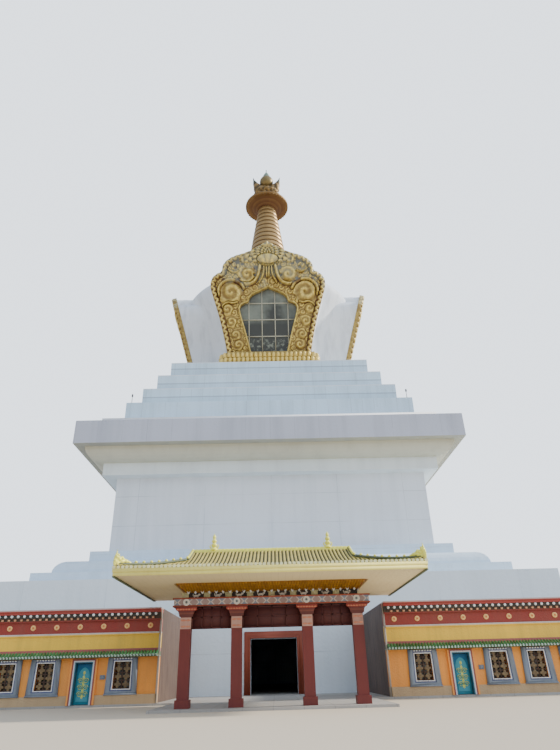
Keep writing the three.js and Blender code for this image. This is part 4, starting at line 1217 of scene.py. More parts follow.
def tile_tips(paint):
    """Pale tips along the eave's lower edge, one a tile of x + y. On each wall only one of x
    and y changes, so their sum serves all four."""

    def colour(n):
        axes = n.axes()
        fold = n.maths("PINGPONG", n.maths("ADD", axes[0], axes[1]), TILE_PITCH / 2 * HALF_SIZE)
        level = n.maths("COMPARE", axes[2], EAVE_EDGE * HALF_SIZE)
        level.node.inputs[2].default_value = TIP_HALF * HALF_SIZE
        on_tile = n.maths("LESS_THAN", fold, TILE_PITCH / 4 * HALF_SIZE)
        tip = n.maths("MULTIPLY", on_tile, level)
        return n.mixed(tip, paint(n), shade(196, 214, 196))

    return colour


wall_bands = tile_tips(banded(bands, stone))
wall_paint = finish("banded wall paint", painted(wall_bands, shade(120, 96, 80), 0.2, 0.22, 3.2))
wall_parts = ("inner", "near", "middle", "far")
dress([f"front_wall_{s}_{part}" for s in ("left", "right") for part in wall_parts], wall_paint)
dress(
    ["front_frieze_left", "front_frieze_right", "left_wall", "right_wall", "back_wall"], wall_paint
)


def paving(n):
    """Grey terrace paint with square joints 1.2 m apart on both level axes."""
    axes = n.axes()
    folds = [n.maths("PINGPONG", axes[i], 0.6 * HALF_SIZE) for i in (0, 1)]
    line = n.maths("MAXIMUM", *[n.maths("LESS_THAN", fold, 0.016 * HALF_SIZE) for fold in folds])
    return n.mixed(n.maths("MULTIPLY", line, 0.4), shade(176, 172, 166), shade(112, 108, 104))


terrace = finish("terrace paving", painted(paving, shade(120, 112, 100), 0.0, 0.5, 2.0))
dress(["terrace_roof", "ground_floor"], terrace)
print("painted bands:", len(bands) + 1)


# %% [markdown]
# Discs, dots, tiles and window frames all repeat along four walls. One helper lists where
# they stand: on the front they start from the two corners of the porch recess, and on the
# other three sides they are spread evenly about the middle.

# %% Places along the walls
WALL_OUT, RECESS, CORNER = 27.6, 5.87, 27.6
FRONT, OTHERS = (0,), (1, 2, 3)


def along_walls(surface, front_x, other_x, z=0.0, out=0.0):
    """Copies of a surface made for the front face, at the given x on the front and on each
    of the other three sides."""
    made = []
    for sides, x in ((FRONT, front_x), (OTHERS, other_x)):
        places = np.column_stack([x, np.full(len(x), -WALL_OUT - out), np.full(len(x), z)])
        made.append(on_sides(copies(surface, places), sides))
    return joined(*made)


def round_the_walls(surface, pitch, first, z, out):
    """Rows of copies: x = recess corner + first + k pitch on both front wings, and
    x = pitch (k + 1/2) each way on the other sides."""
    front = np.arange(RECESS + first, CORNER + out - 0.05, pitch)
    other = np.arange(pitch / 2, CORNER + out - 0.05, pitch)
    return along_walls(surface, np.r_[-front, front], np.r_[-other, other], z, out)


def facing_front(surface):
    """A turned shape with its axis upright is tipped over, so that up becomes out."""
    points, faces = surface
    return np.stack([points[:, 0], -points[:, 2], points[:, 1]], -1), faces


def narrowed(surface, level, share):
    """Every point below the level moves towards the middle: x' = share times x."""
    points, faces = surface
    return points * np.where(points[:, 2:] < level, (share, 1, 1), (1, 1, 1)), faces


# %% Gilt discs, white beam ends and the small ends below
disc_profile = [(0.135, 0), (0.135, 0.03), (0.11, 0.045), (0.06, 0.045), (0.05, 0.03), (0, 0.03)]
disc = facing_front(lathe(disc_profile, 12))
disc_row = (1.22, 0.53, 3.65, 0.02)
disc_gold = gilt(
    "disc gilding", (255, 204, 128), (190, 108, 46), 0.3, 16.0, stored=False, bump=0.004
)
piece("frieze_discs", round_the_walls(disc, *disc_row), disc_gold, smooth=50)

hub = facing_front(lathe([(0.055, 0.03), (0.05, 0.055), (0, 0.06)], 8))
hub_paint = plain_paint("disc hub paint", (226, 138, 72), (150, 84, 44), 0.1, 0.3, 6.0)
piece(
    "frieze_disc_hubs", round_the_walls(hub, *disc_row), hub_paint, smooth=50
)

BEAM_END_PITCH = 0.327
beam_end = facing_front(lathe([(0.072, 0), (0.07, 0.04), (0.045, 0.07), (0, 0.08)], 10))
dot_white = plain_paint("beam end white", (255, 254, 250), (196, 188, 180), 0.05, 0.15, 6.0)
piece(
    "white_beam_ends", round_the_walls(beam_end, BEAM_END_PITCH, 0.24, 4.2, 0.22), dot_white,
)

low_end = narrowed(block((-0.065, -0.06, -0.055), (0.065, 0, 0.055)), 0.0, 0.75)
dot_orange = plain_paint("beam end orange", (248, 188, 146), (176, 110, 76), 0.1, 0.25, 6.0)
piece(
    "small_beam_ends", round_the_walls(low_end, BEAM_END_PITCH, 0.4, 4.04, 0.12), dot_orange,
    smooth=0,
)

# %% [markdown]
# A narrow eave of green glazed tiles runs over the windows. Each rib is half a pipe down
# the slope with a pale round tile at its end, and a row of small red tile ends lies on the
# pink band above.

# %% Green glazed tiles
def roof_rib(radius, run, drop, rows=3, columns=7):
    """Half a pipe: across it a half circle, along it a straight run that falls by `drop`.
    Its low end is closed by a cap that shrinks to the middle."""
    half_circle = np.linspace(0, np.pi, columns)
    along = np.linspace(0, 1, rows)[:, None]
    x, z = np.cos(half_circle) * radius, np.sin(half_circle) * radius - drop * along
    points = np.stack(np.broadcast_arrays(x, -run * along, z), -1)
    end = points[-1:]
    centre = end.mean(axis=1, keepdims=True)
    cap = centre + (end - centre) * 0.55 - (0, 0.012, 0)
    return grid(np.concatenate([points, cap, np.broadcast_to(centre - (0, 0.015, 0), end.shape)]))


def glaze(low, high):
    """Dark and pale glaze mixed where small noise is high; the pale patches stand in partly for
    highlights on the glaze.
    """

    def colour(n):
        place = n.place()
        tone = n.ramp(n.noise(place, 4.0, 3.0), 0.3, 0.72)
        return n.mixed(tone, low, high), 0.3, n.noise(place, 20.0, 2.0)

    return colour


glossy = {"roughness": 0.3, "bump": 0.002, "Coat_Weight": 0.4}
green_glaze = finish("green tile glaze", glaze(shade(28, 92, 48), shade(72, 148, 92)), **glossy)
pale_glaze = finish("pale tile ends", glaze(shade(190, 214, 192), shade(244, 248, 240)), **glossy)
eave_row = (TILE_PITCH, TILE_PITCH / 2)
rib = roof_rib(0.062, 0.31, 0.19)
piece(
    "eave_tiles", round_the_walls(rib, *eave_row, 2.45, 0.03), green_glaze,
    smooth=50,
)
drip = facing_front(lathe([(0.058, 0), (0.058, 0.025), (0.035, 0.03), (0, 0.03)], 6))
piece(
    "eave_tile_ends", round_the_walls(drip, *eave_row, 2.25, 0.355), pale_glaze,
    smooth=50,
)
red_end = facing_front(lathe([(0.05, 0), (0.045, 0.03), (0, 0.04)], 6))
red_tile = plain_paint("red tile ends", (176, 104, 92), (110, 60, 52), 0.1, 0.4, 6.0)
piece(
    "red_tile_row", round_the_walls(red_end, *eave_row, 2.5, 0.02), red_tile
)

# %% [markdown]
# ## Windows of the ground storey
# A slate-blue surround, wider at its foot, frames each window. Inside it are a violet frame
# with white edges, a row of small white blocks at its head, and a dark lattice of gilt
# four-petalled flowers in front of the glass.

# %% A surround, as a closed ring
def surround(outer, inner, proud):
    """Corners (x, z) of an outer and an inner outline give four rings: outer back, outer
    front, inner front, inner back, and the first again, which closes the body."""
    ring = lambda corners, y: np.insert(np.asarray(corners, float), 1, y, axis=1)
    rows = [ring(outer, 0), ring(outer, -proud), ring(inner, -proud), ring(inner, 0)]
    return grid(np.stack(rows + rows[:1]), ring=True)


def opening(half_low, half_high, low, high):
    """The four corners of an upright trapezium."""
    return [(-half_low, low), (half_low, low), (half_high, high), (-half_high, high)]


front_windows = np.array([7.65] + [9.6 + 1.95 * k for k in range(1, 9)])
side_windows = np.arange(-12, 13) * 1.95


def at_windows(surface):
    """One copy of a surface at every window of the ground storey, on all four sides."""
    return along_walls(surface, np.r_[-front_windows, front_windows], side_windows)


slate = surround(opening(0.8, 0.74, 0.53, 2.17), opening(0.55, 0.5, 0.68, 2.12), 0.09)
slate_sill = block((-0.82, -0.12, 0.5), (0.82, 0, 0.57))
slate_paint = plain_paint(
    "slate-blue surround", (136, 144, 154), (92, 98, 106), 0.35, 0.4, 4.0, bump=0.004
)
piece(
    "window_surrounds", at_windows(joined(slate, slate_sill)), slate_paint,
    smooth=0,
)

violet = surround(opening(0.56, 0.51, 0.68, 2.12), opening(0.45, 0.43, 0.76, 2.0), 0.05)
violet_paint = plain_paint("violet-blue frame", (118, 124, 164), (96, 102, 128), 0.1, 0.5, 6.0)
piece("window_violet_frames", at_windows(violet), violet_paint, smooth=0)
white_lines = surround(opening(0.485, 0.46, 0.73, 2.03), opening(0.44, 0.42, 0.77, 1.985), 0.058)
dentil_places = [(x, 0, 2.12) for x in np.linspace(-0.42, 0.42, 7)]
dentils = copies(block((-0.035, -0.14, -0.03), (0.035, -0.05, 0.03)), dentil_places)
piece(
    "window_white_lines", at_windows(joined(white_lines, dentils)), dot_white,
    smooth=0,
)


# %% Lattice of flowers
def flower(radius, proud, turns=16):
    """Four petals: the radius at angle a is R (0.55 + 0.45 |cos 2a|), and the face is domed
    towards each petal's middle."""
    a = np.arange(turns) * TAU / turns
    reach = radius * (0.55 + 0.45 * np.abs(np.cos(2 * a)))
    share = np.array([1.0, 0.96, 0.6, 0.25, 0.0])[:, None]
    out = np.array([0.0, 0.6, 1.0, 0.55, 0.9])[:, None] * proud
    return grid(
        np.stack([share * reach * np.cos(a), -out + 0 * a, share * reach * np.sin(a)], -1),
        ring=True,
    )


flower_places = [(x, 0.05, z) for x in (-0.205, 0.205) for z in (0.97, 1.32, 1.67, 1.92)]
flowers = copies(flower(0.18, 0.03), flower_places, sizes=[1, 1, 1, 0.6] * 2)
lattice_gold = gilt(
    "lattice flowers", (130, 106, 66), (70, 52, 36), 0.5, 16.0, stored=False, bump=0.003
)
piece("window_flowers", at_windows(flowers), lattice_gold, smooth=50)
rods = joined(
    *[block((x - 0.03, 0.04, 0.76), (x + 0.03, 0.09, 2.05)) for x in (-0.4, 0.0, 0.4)],
    *[
        block((-0.425, 0.05, z - 0.03), (0.425, 0.08, z + 0.03))
        for z in (0.8, 1.145, 1.495, 1.82, 2.0)
    ],
)
lattice_brown = plain_paint("lattice brown", (84, 62, 48), (54, 42, 34), 0.1, 0.3, 6.0)
piece("window_lattices", at_windows(rods), lattice_brown, smooth=0)
# The ground storey's glass carries the same painted shade of the rooms behind.
room_glass = finish("ground storey glass", glass_and_room_shade)
panes = ("front_left", "front_right", "left", "right", "back")
dress([f"glass_{pane}" for pane in panes], room_glass)


# %% [markdown]
# ## The porch
# Four maroon columns with bow-shaped capitals carry a painted beam, a carved frieze, a band
# of brackets and a wide golden roof with hips below and gables above. The white animals of
# the frieze and the round medallions are shallow carving, so they are low domes and discs
# on the beams.

# %% Tiled roof surface
EAVE_X, EAVE_FRONT, EAVE_BACK, EAVE_TOP = 6.36, 36.34, 27.62, 5.12
RIDGE_X, RIDGE_FOOT = 3.74, 6.44
ROOF_MIDDLE, ROOF_DEEP = -(EAVE_FRONT + EAVE_BACK) / 2, (EAVE_FRONT - EAVE_BACK) / 2
LONG_RUN, END_RUN = ROOF_DEEP - 0.13, EAVE_X - RIDGE_X


def roof_height(run, u):
    """The roof rises as the power 1.5 of the share run/4.23 m, so it sags, and its corners
    sweep up by the eighth power of the distance u from a slope's middle."""
    up = np.clip(run / LONG_RUN, 0, 1)
    lift = 0.14 * np.abs(u) ** 8 * (1 - up) ** 3
    return EAVE_TOP + (RIDGE_FOOT - EAVE_TOP) * up**1.5 + lift


def roof_slope(pitch, end, rows=14):
    """One slope as ribs: across it the height gets a wave, the root of sine squared less
    0.2. The long slopes run up to the ridge, and the `end` slopes stop under the gables. The
    hip lines cut both, and a first row closes the eave below."""
    half, deep, far = (ROOF_DEEP, EAVE_X, END_RUN) if end else (EAVE_X, ROOF_DEEP, LONG_RUN)
    half, deep = half - 0.05, deep - 0.05
    count = int(round(2 * half / pitch))
    across = np.linspace(-half, half, count * 8 + 1)[None]
    run = np.linspace(0, far, rows)[:, None]
    reach = half - np.minimum(run, ROOF_DEEP if end else END_RUN)
    held = np.clip(across, -reach, reach)
    tiles = np.sin(np.pi * (across + half) / (2 * half) * count) ** 2
    wave = 0.055 * np.sqrt(np.clip(tiles - 0.2, 0, 1)) + 0 * run
    height = roof_height(run, held / reach) + wave + 0.015
    out = deep - run + 0 * held
    points = np.stack([out, held, height] if end else [held, -out, height], -1)
    skirt = points[:1] * (1, 1, 0) + (0, 0, 5.06)
    # These light values are painted shade: dark in the valleys between the tile ribs and light on
    # their crests.
    light = np.clip(wave / 0.045, 0, 1)
    return grid(np.concatenate([skirt, points])), np.concatenate([light[:1], light]).ravel()


# lights now gathers the painted shade of the tile valleys.
slopes, lights = [], []
ROOF_TILE_PITCH = 0.17
for end in (False, True):
    (points, faces), light = roof_slope(ROOF_TILE_PITCH, end)
    for flip in (1, -1):
        slopes.append((points * (flip, flip, 1) + (0, ROOF_MIDDLE, 0), faces))
        lights.append(light)
tile_gold = gilt(
    "golden tiles", (218, 198, 102), (58, 52, 22), 0.25, 6.0, bump=0.004, metallic=0.25
)
piece(
    "porch_tiles", joined(*slopes), tile_gold, stands_for=["porch_roof"],
    smooth=50, depth=np.concatenate(lights),
)

# %% Gables
gable_run = np.linspace(END_RUN, LONG_RUN, 9)[:, None]
gable_section = np.array([(3.66, -1), (3.74, -1), (3.74, 1), (3.66, 1)])
gable_z = roof_height(gable_run, 1.0) + 0.01 + 0 * gable_section[:, 0]
gable_z[0] -= 0.12
gable_x = gable_section[:, 0] + 0 * gable_run
gable_y = gable_section[:, 1] * (ROOF_DEEP - gable_run)
gable = grid(np.stack([gable_x, gable_y, gable_z], -1), ring=True)
gables = joined(*[(gable[0] * (side, 1, 1) + (0, ROOF_MIDDLE, 0), gable[1]) for side in (1, -1)])
gable_red = plain_paint("gable red", (132, 52, 40), (84, 40, 34), 0.1, 0.3, 5.0)
piece("porch_gables", gables, gable_red, smooth=0)

# %% [markdown]
# Pipes as thick as an arm run along the hips and the gable edges, with small gilt beads on them;
# their dark paint partly stands in for shade. They are tubes swept along a line. Each corner
# carries a thin gilt spike and three curled leaves.

# %% Hips, corner leaves and ridge
def tube(line, radius, columns=10, bead=0.0, beads=1):
    """A circle carried along a line. The two directions across the line come from its
    heading and from straight up. The radius swells by a share `bead` of itself in |sin|."""
    line = np.asarray(line, float)
    heading = np.gradient(line, axis=0)
    heading /= np.linalg.norm(heading, axis=1, keepdims=True)
    sideways = np.cross(heading, (0.001, 0.002, 1.0))
    sideways /= np.linalg.norm(sideways, axis=1, keepdims=True)
    upwards = np.cross(sideways, heading)
    angle = (np.arange(columns) * TAU / columns)[None, :, None]
    share = np.linspace(0, 1, len(line))
    wide = np.interp(share, np.linspace(0, 1, np.size(radius)), np.atleast_1d(radius))
    wide = wide * (1 + bead * np.abs(np.sin(np.pi * beads * share)))
    wide[[0, -1]] = 0
    ring = sideways[:, None] * np.cos(angle) + upwards[:, None] * np.sin(angle)
    return grid(line[:, None] + ring * wide[:, None, None], ring=True)


hip_run = np.linspace(0.05, END_RUN, 40)
hip = np.column_stack([EAVE_X - hip_run, -(ROOF_DEEP - hip_run), roof_height(hip_run, 1.0) + 0.09])
edge_run = np.linspace(END_RUN, LONG_RUN + 0.02, 30)
edge = np.column_stack(
    [np.full(30, RIDGE_X - 0.02), -(ROOF_DEEP - edge_run), roof_height(edge_run, 1.0) + 0.08]
)


def four_corners(surface):
    """A surface made for the front right quarter, mirrored to all four about the roof's
    middle."""
    points, faces = surface
    signs = [(sx, sy, 1) for sx in (-1, 1) for sy in (-1, 1)]
    return joined(*[(points * sign + (0, ROOF_MIDDLE, 0), faces) for sign in signs])


# Dark green paint for the hips, partly painted shade; the strips under the eave ends use it too.
dark_tile_and_shade = plain_paint(
    "dark ridge tiles and painted shade", (104, 112, 84), (58, 60, 46), 0.2, 0.35, 6.0, bump=0.004
)
piece(
    "porch_hips", four_corners(joined(tube(hip, 0.065), tube(edge, 0.07))), dark_tile_and_shade,
    smooth=60,
)

bright_gold = gilt(
    "bright roof gilding", (255, 250, 116), (150, 128, 40), 0.2, 9.0, stored=False, bump=0.004,
    metallic=0.05,
)
bead = lathe([(0, -0.06), (0.06, -0.02), (0.065, 0.03), (0, 0.08)], 8)
curl = np.linspace(0, 1, 22)
sway = 0.03 * np.sin(curl * 5)
spike_line = [EAVE_X - 0.1 + sway, -(ROOF_DEEP - 0.1 + sway), EAVE_TOP + 0.1 + 0.66 * curl]
spike = tube(np.column_stack(spike_line), [0.06, 0.05, 0.035, 0.016])


def curled_leaf(reach, high):
    """A beaded tube from the corner: it reaches inwards, and rises and falls as a sine."""
    x, y = EAVE_X - 0.08 - reach * curl, -(ROOF_DEEP - 0.08 - reach * curl)
    line = np.column_stack([x, y, EAVE_TOP + 0.16 + high * np.sin(curl * 2.6)])
    return tube(line, [0.035, 0.065, 0.055, 0.018], bead=0.6, beads=4)


leaf_curls = [curled_leaf(*sizes) for sizes in ((0.14, 0.36), (0.36, 0.27), (0.58, 0.17))]
corner = joined(
    spike, *leaf_curls, copies(bead, hip[3::4] + (0, 0, 0.07)),
    copies(bead, edge[2::4] + (0, 0, 0.06)),
)
piece("porch_corner_leaves", four_corners(corner), bright_gold, smooth=60)

ridge_block = block((-3.8, ROOF_MIDDLE - 0.13, 6.4), (3.8, ROOF_MIDDLE + 0.13, 6.5))
ridge_line = np.column_stack(
    [np.linspace(-3.84, 3.84, 130), np.full(130, ROOF_MIDDLE), np.full(130, 6.53)]
)
ridge_cap = tube(ridge_line, 0.07, bead=0.35, beads=42)
finial_line = smooth_line([
    (0, 6.5), (0.17, 6.54), (0.17, 6.62), (0.07, 6.67), (0.15, 6.76), (0.14, 6.83), (0.06, 6.88),
    (0.13, 6.97), (0.1, 7.04), (0.05, 7.08), (0.09, 7.16), (0.06, 7.24), (0.03, 7.29), (0, 7.34),
], 44, 1)
finial_places = [(x, ROOF_MIDDLE, 0) for x in (-2.74, 2.74)]
finials = copies(lathe(finial_line, 14), finial_places)
side_line = np.column_stack([0.08 + 0.12 * np.sin(curl * 2.4), curl * 0, 6.6 + 0.24 * curl])
points, faces = tube(side_line, [0.045, 0.035, 0.015], columns=6)
finial_leaves = [(points * (s, 1, 1) + place, faces) for s in (-1, 1) for place in finial_places]
ridge_parts = joined(ridge_block, ridge_cap, finials, *finial_leaves)
piece(
    "porch_ridge_caps", ridge_parts, bright_gold, stands_for=["porch_ridge"],
    smooth=60,
)

# %% [markdown]
# The eave is a cream board underneath, whose cream is partly painted warm light thrown up from the
# ground. Its edge is yellow-gold in two steps with a row of round tile ends above it.

# %% Eave edge
def eave_run(surface, pitch, low, out=0.0):
    """Copies along the front and the two ends of the eave, facing outwards."""
    made = []
    ends = [(turn, ROOF_DEEP, EAVE_X) for turn in (1, 3)]
    for turn, half, reach in [(0, EAVE_X, ROOF_DEEP)] + ends:
        count = int(2 * half / pitch)
        x = (np.arange(count) + 0.5) * 2 * half / count - half
        places = np.column_stack([x, np.full(count, -reach - out), np.full(count, low)])
        rows = on_sides(copies(surface, places), (turn,))
        made.append((rows[0] + (0, ROOF_MIDDLE, 0), rows[1]))
    return joined(*made)


tile_end = facing_front(lathe([(0.068, 0), (0.066, 0.03), (0.04, 0.03), (0, 0.035)], 8))
pale_gold = gilt(
    "pale tile ends gilding", (255, 252, 196), (186, 170, 96), 0.35, 9.0, stored=False, metallic=0.2
)
piece(
    "eave_gilt_ends", eave_run(tile_end, ROOF_TILE_PITCH, 5.16, -0.04), pale_gold,
    smooth=50,
)


def edge_board(low, high, out):
    """A board round the front and ends of the eave: a closed ring between two rectangles."""
    x, front, back, wide = EAVE_X + out, -EAVE_FRONT - out, -EAVE_BACK - 0.02, 0.3
    rows = [
        [(-x + d, back, z), (-x + d, front + d, z), (x - d, front + d, z), (x - d, back, z)]
        for d, z in ((0, low), (0, high), (wide, high), (wide, low), (0, low))
    ]
    points, faces = grid(np.array(rows, float))
    return points, np.concatenate([faces, [[0, 4, 8, 12], [3, 7, 11, 15]]])


edge_gold = plain_paint(
    "eave edge gilding", (255, 244, 140), (206, 184, 96), 0.2, 0.3, 7.0, bump=0.004
)
boards = joined(edge_board(4.84, 4.97, -0.05), edge_board(4.975, 5.12, -0.03))
piece("eave_boards", boards, edge_gold, smooth=0)
# Thin dark strips under both ends of the eave: painted shadow under the end boards.
end_edge = block((-0.05, -EAVE_FRONT + 0.06, 4.785), (0.05, -EAVE_BACK - 0.03, 4.835))
piece(
    "eave_end_edges", copies(end_edge, [(-6.27, 0, 0), (6.27, 0, 0)]), dark_tile_and_shade,
    smooth=0,
)


def soffit_paint(n):
    """Cream boards 0.3 m wide with faint joints across the front; the cream is partly painted warm
    light from the ground.
    """
    place = n.place()
    across = n.axes(place)[0]
    joint = n.maths("LESS_THAN", n.maths("PINGPONG", across, 0.15 * HALF_SIZE), 0.004)
    return n.mixed(n.maths("MULTIPLY", joint, 0.25), shade(224, 206, 160), shade(160, 140, 106))


# The soffit's cream is partly painted warm light from the ground.
cream = finish("cream soffit", painted(soffit_paint, shade(192, 172, 142), 0.0, 0.3, 1.6))
soffit = block((-EAVE_X + 0.12, -EAVE_FRONT + 0.12, 4.83), (EAVE_X - 0.12, -EAVE_BACK - 0.02, 5.04))
piece("soffit_boards", soffit, cream, stands_for=["porch_ceiling"], smooth=0)

# %% [markdown]
# Under the soffit come a bracket band like honeycomb, a frieze of carved panels and a
# painted beam. Rows of small repeated shapes follow the beam round its three sides.

# %% Rows along the beam
BEAM_X, BEAM_Y, BACK_Y = 4.2, 33.86, 27.65


def beam_run(surface, pitch, low, set_back=0.0, shift=0.5, lean=0.0):
    """Copies along the beam's front and both ends; `lean` tips each copy's top outwards."""
    points, faces = surface
    leaning = np.stack([points[:, 0], points[:, 1] - lean * points[:, 2], points[:, 2]], -1), faces
    made = []
    half, front = BEAM_X - set_back, BEAM_Y - set_back
    count = int(round(2 * half / pitch))
    x = (np.arange(count) + shift) * 2 * half / count - half
    places = np.column_stack([x, np.full(count, -front), np.full(count, low)])
    made.append(copies(leaning, places))
    count = int(round((front - BACK_Y) / pitch))
    y = -front + (np.arange(count) + 0.5) * (front - BACK_Y) / count
    for side in (1, -1):
        places = np.column_stack([np.full(count, side * half), y, np.full(count, low)])
        made.append(copies(leaning, places, turned_z(np.full(count, side * TAU / 4))))
    return joined(*made)


def scale(wide, tall, proud):
    """One scale of the bracket band: from its point its half width grows as the root of the
    height, and it bulges out as a parabola across and a sine up."""
    across, up = np.meshgrid(np.linspace(-1, 1, 5), np.linspace(0, 1, 5))
    half = wide / 2 * np.sqrt(up)
    out = proud * (1 - across**2) * np.sin(np.pi * (0.15 + up * 0.7))
    return grid(np.stack([across * half, -out, up * tall], -1))


one_scale = scale(0.13, 0.1, 0.035)
honeycomb = joined(*[
    beam_run(one_scale, 0.12, 4.47 + 0.068 * row, 0.4 - 0.085 * row, 0.5 * (row % 2) + 0.25, 1.2)
    for row in range(5)
])
honey_gold = gilt(
    "bracket gilding", (176, 126, 40), (84, 50, 14), 0.45, 12.0, stored=False, bump=0.004
)
piece("bracket_scales", honeycomb, honey_gold, smooth=50)
triangles = narrowed(block((-0.09, -0.06, 0.0), (0.09, 0.0, 0.14)), 0.07, 0.15)
piece(
    "bracket_points", beam_run(triangles, 0.3, 4.42, 0.4), dot_white, smooth=0
)

# %% The frieze and the painted beam
def mound(rx, rz, proud, turns=12):
    """A low oval dome that faces the front."""
    a = np.arange(turns) * TAU / turns
    share = np.array([1.0, 0.92, 0.6, 0.0])[:, None]
    out = np.array([0.0, 0.55, 0.9, 1.0])[:, None] * proud
    return grid(
        np.stack([share * rx * np.cos(a), -out + 0 * a, share * rz * np.sin(a)], -1), ring=True
    )


def moved(surface, x, z):
    """The same shape, set off sideways and up."""
    return surface[0] + (x, 0, z), surface[1]


# Body, head, two legs and tail: half width, half height and thickness, then x and z.
animal_parts = (
    (0.13, 0.05, 0.04, 0, 0.0), (0.055, 0.045, 0.06, 0.13, 0.05), (0.022, 0.05, 0.03, -0.09, -0.05),
    (0.022, 0.05, 0.03, 0.07, -0.05), (0.018, 0.06, 0.03, -0.14, 0.04),
)
animal = joined(*[moved(mound(rx, rz, proud), x, z) for rx, rz, proud, x, z in animal_parts])
FRIEZE_ROW = (0.95, 4.35, 0.42)
frieze_white = plain_paint("frieze white", (226, 218, 206), (140, 128, 116), 0.1, 0.3, 7.0)
piece("frieze_animals", beam_run(animal, *FRIEZE_ROW), frieze_white, smooth=50)
block_between = joined(
    block((-0.14, -0.05, -0.1), (0.14, 0.0, 0.1)), block((-0.18, -0.07, 0.08), (0.18, 0.0, 0.12)),
    block((-0.18, -0.07, -0.13), (0.18, 0.0, -0.1)),
)
block_paint = plain_paint("frieze block paint", (206, 200, 156), (140, 130, 96), 0.1, 0.3, 7.0)
piece(
    "frieze_blocks", beam_run(block_between, *FRIEZE_ROW, 0.0), block_paint,
    smooth=0,
)


def beam_paint(n):
    """Grey-blue and pink lozenges on the beam, black behind the frieze, gold above it."""
    place = n.place()
    axes = n.axes(place)
    run = n.maths("ADD", axes[0], axes[1])
    wave = n.maths("PINGPONG", run, 0.24 * HALF_SIZE)
    rise = n.maths("PINGPONG", n.maths("SUBTRACT", axes[2], 3.88 * HALF_SIZE), 0.17 * HALF_SIZE)
    away = n.maths("ADD", wave, rise)
    inside = n.maths("LESS_THAN", away, 0.2 * HALF_SIZE)
    from_edge = n.maths("ABSOLUTE", n.maths("SUBTRACT", away, 0.2 * HALF_SIZE))
    line = n.maths("LESS_THAN", from_edge, 0.024 * HALF_SIZE)
    lozenges = n.mixed(inside, shade(150, 128, 124), shade(120, 130, 146))
    beam = n.mixed(line, lozenges, shade(206, 190, 176))
    over = n.maths("GREATER_THAN", axes[2], 4.22 * HALF_SIZE)
    above = n.maths("GREATER_THAN", axes[2], 4.48 * HALF_SIZE)
    return n.mixed(above, n.mixed(over, beam, shade(40, 30, 28)), shade(150, 88, 34))


beam_finish = finish(
    "painted beam", painted(beam_paint, shade(90, 76, 66), 0.1, 0.2, 5.0), bump=0.003
)
dress(["porch_beams"], beam_finish)
ring_disc = facing_front(
    lathe([(0.14, 0), (0.14, 0.04), (0.11, 0.05), (0.09, 0.03), (0, 0.03)], 18)
)
COLUMN_X = (-3.66, -1.5, 1.5, 3.66)
disc_places = [(x, -BEAM_Y, 4.05) for x in COLUMN_X]
heart = facing_front(lathe([(0.055, 0.02), (0.05, 0.055), (0, 0.062)], 10))
heart_paint = plain_paint("medallion hearts", (104, 112, 112), (70, 72, 72), 0.1, 0.2, 5.0)
piece(
    "beam_medallions", copies(ring_disc, disc_places), frieze_white, smooth=50
)
piece("medallion_hearts", copies(heart, disc_places), heart_paint, smooth=50)
mouldings = joined(
    *[
        block((-BEAM_X - o, -BEAM_Y - o, z), (BEAM_X + o, -BEAM_Y + 0.1, z + 0.05))
        for z, o in ((3.88, 0.03), (4.18, 0.05))
    ],
    *[
        block((s * BEAM_X - 0.05, -BEAM_Y, z), (s * BEAM_X + 0.05, -BACK_Y, z + 0.05))
        for z in (3.88, 4.18) for s in (-1, 1)
    ],
)
carved_red = plain_paint(
    "carved red timber", (158, 74, 48), (92, 44, 34), 0.1, 0.35, 6.0, bump=0.004
)
piece("beam_mouldings", mouldings, carved_red, smooth=0)

# %% [markdown]
# The columns are painted maroon, with a pale carved band under the capitals. The capitals
# are dark red with orange carved leaves. The height parts the paints. Leaves are low domes
# laid on the capital's front and back.

# %% Columns and capitals
column_bands = banded([
    (3.0, shade(196, 152, 134)), (3.45, shade(96, 44, 36)), (3.58, shade(124, 62, 48)),
    (3.64, shade(104, 44, 36)), (3.72, shade(164, 62, 44)), (3.84, shade(110, 36, 30)),
], shade(120, 46, 38))
column_coat = painted(column_bands, shade(70, 36, 32), 0.2, 0.3, 5.0)
column_paint = finish("column paint", column_coat, bump=0.003)
column_names = ("outer_left", "inner_left", "inner_right", "outer_right")
dress([f"porch_column_{name}" for name in column_names], column_paint)
leaf_x = (-0.36, -0.24, -0.12, 0, 0.12, 0.24, 0.36)
leaves = joined(
    *[moved(mound(0.055, 0.03, 0.035), x, 3.77) for x in leaf_x],
    *[moved(mound(0.1, 0.035, 0.02), x, z) for z in (3.34, 3.1) for x in (-0.1, 0.1)],
)
leaf_places = [(x, -BEAM_Y + 0.025, 0) for x in COLUMN_X]
back_places = [(x, -BEAM_Y + 0.475, 0) for x in COLUMN_X]
capital_leaves = joined(
    copies(leaves, leaf_places), copies(leaves, back_places, turned_z(np.full(4, np.pi)))
)
leaf_gold = gilt(
    "capital leaves", (204, 128, 96), (140, 82, 62), 0.3, 9.0, stored=False, bump=0.003
)
piece("capital_leaves", capital_leaves, leaf_gold, smooth=50)

# %% [markdown]
# Dark maroon timber fills the space under the beam between the capitals. It is a panelled
# transom, so each bay gets a board with a frame of thin rails on it.

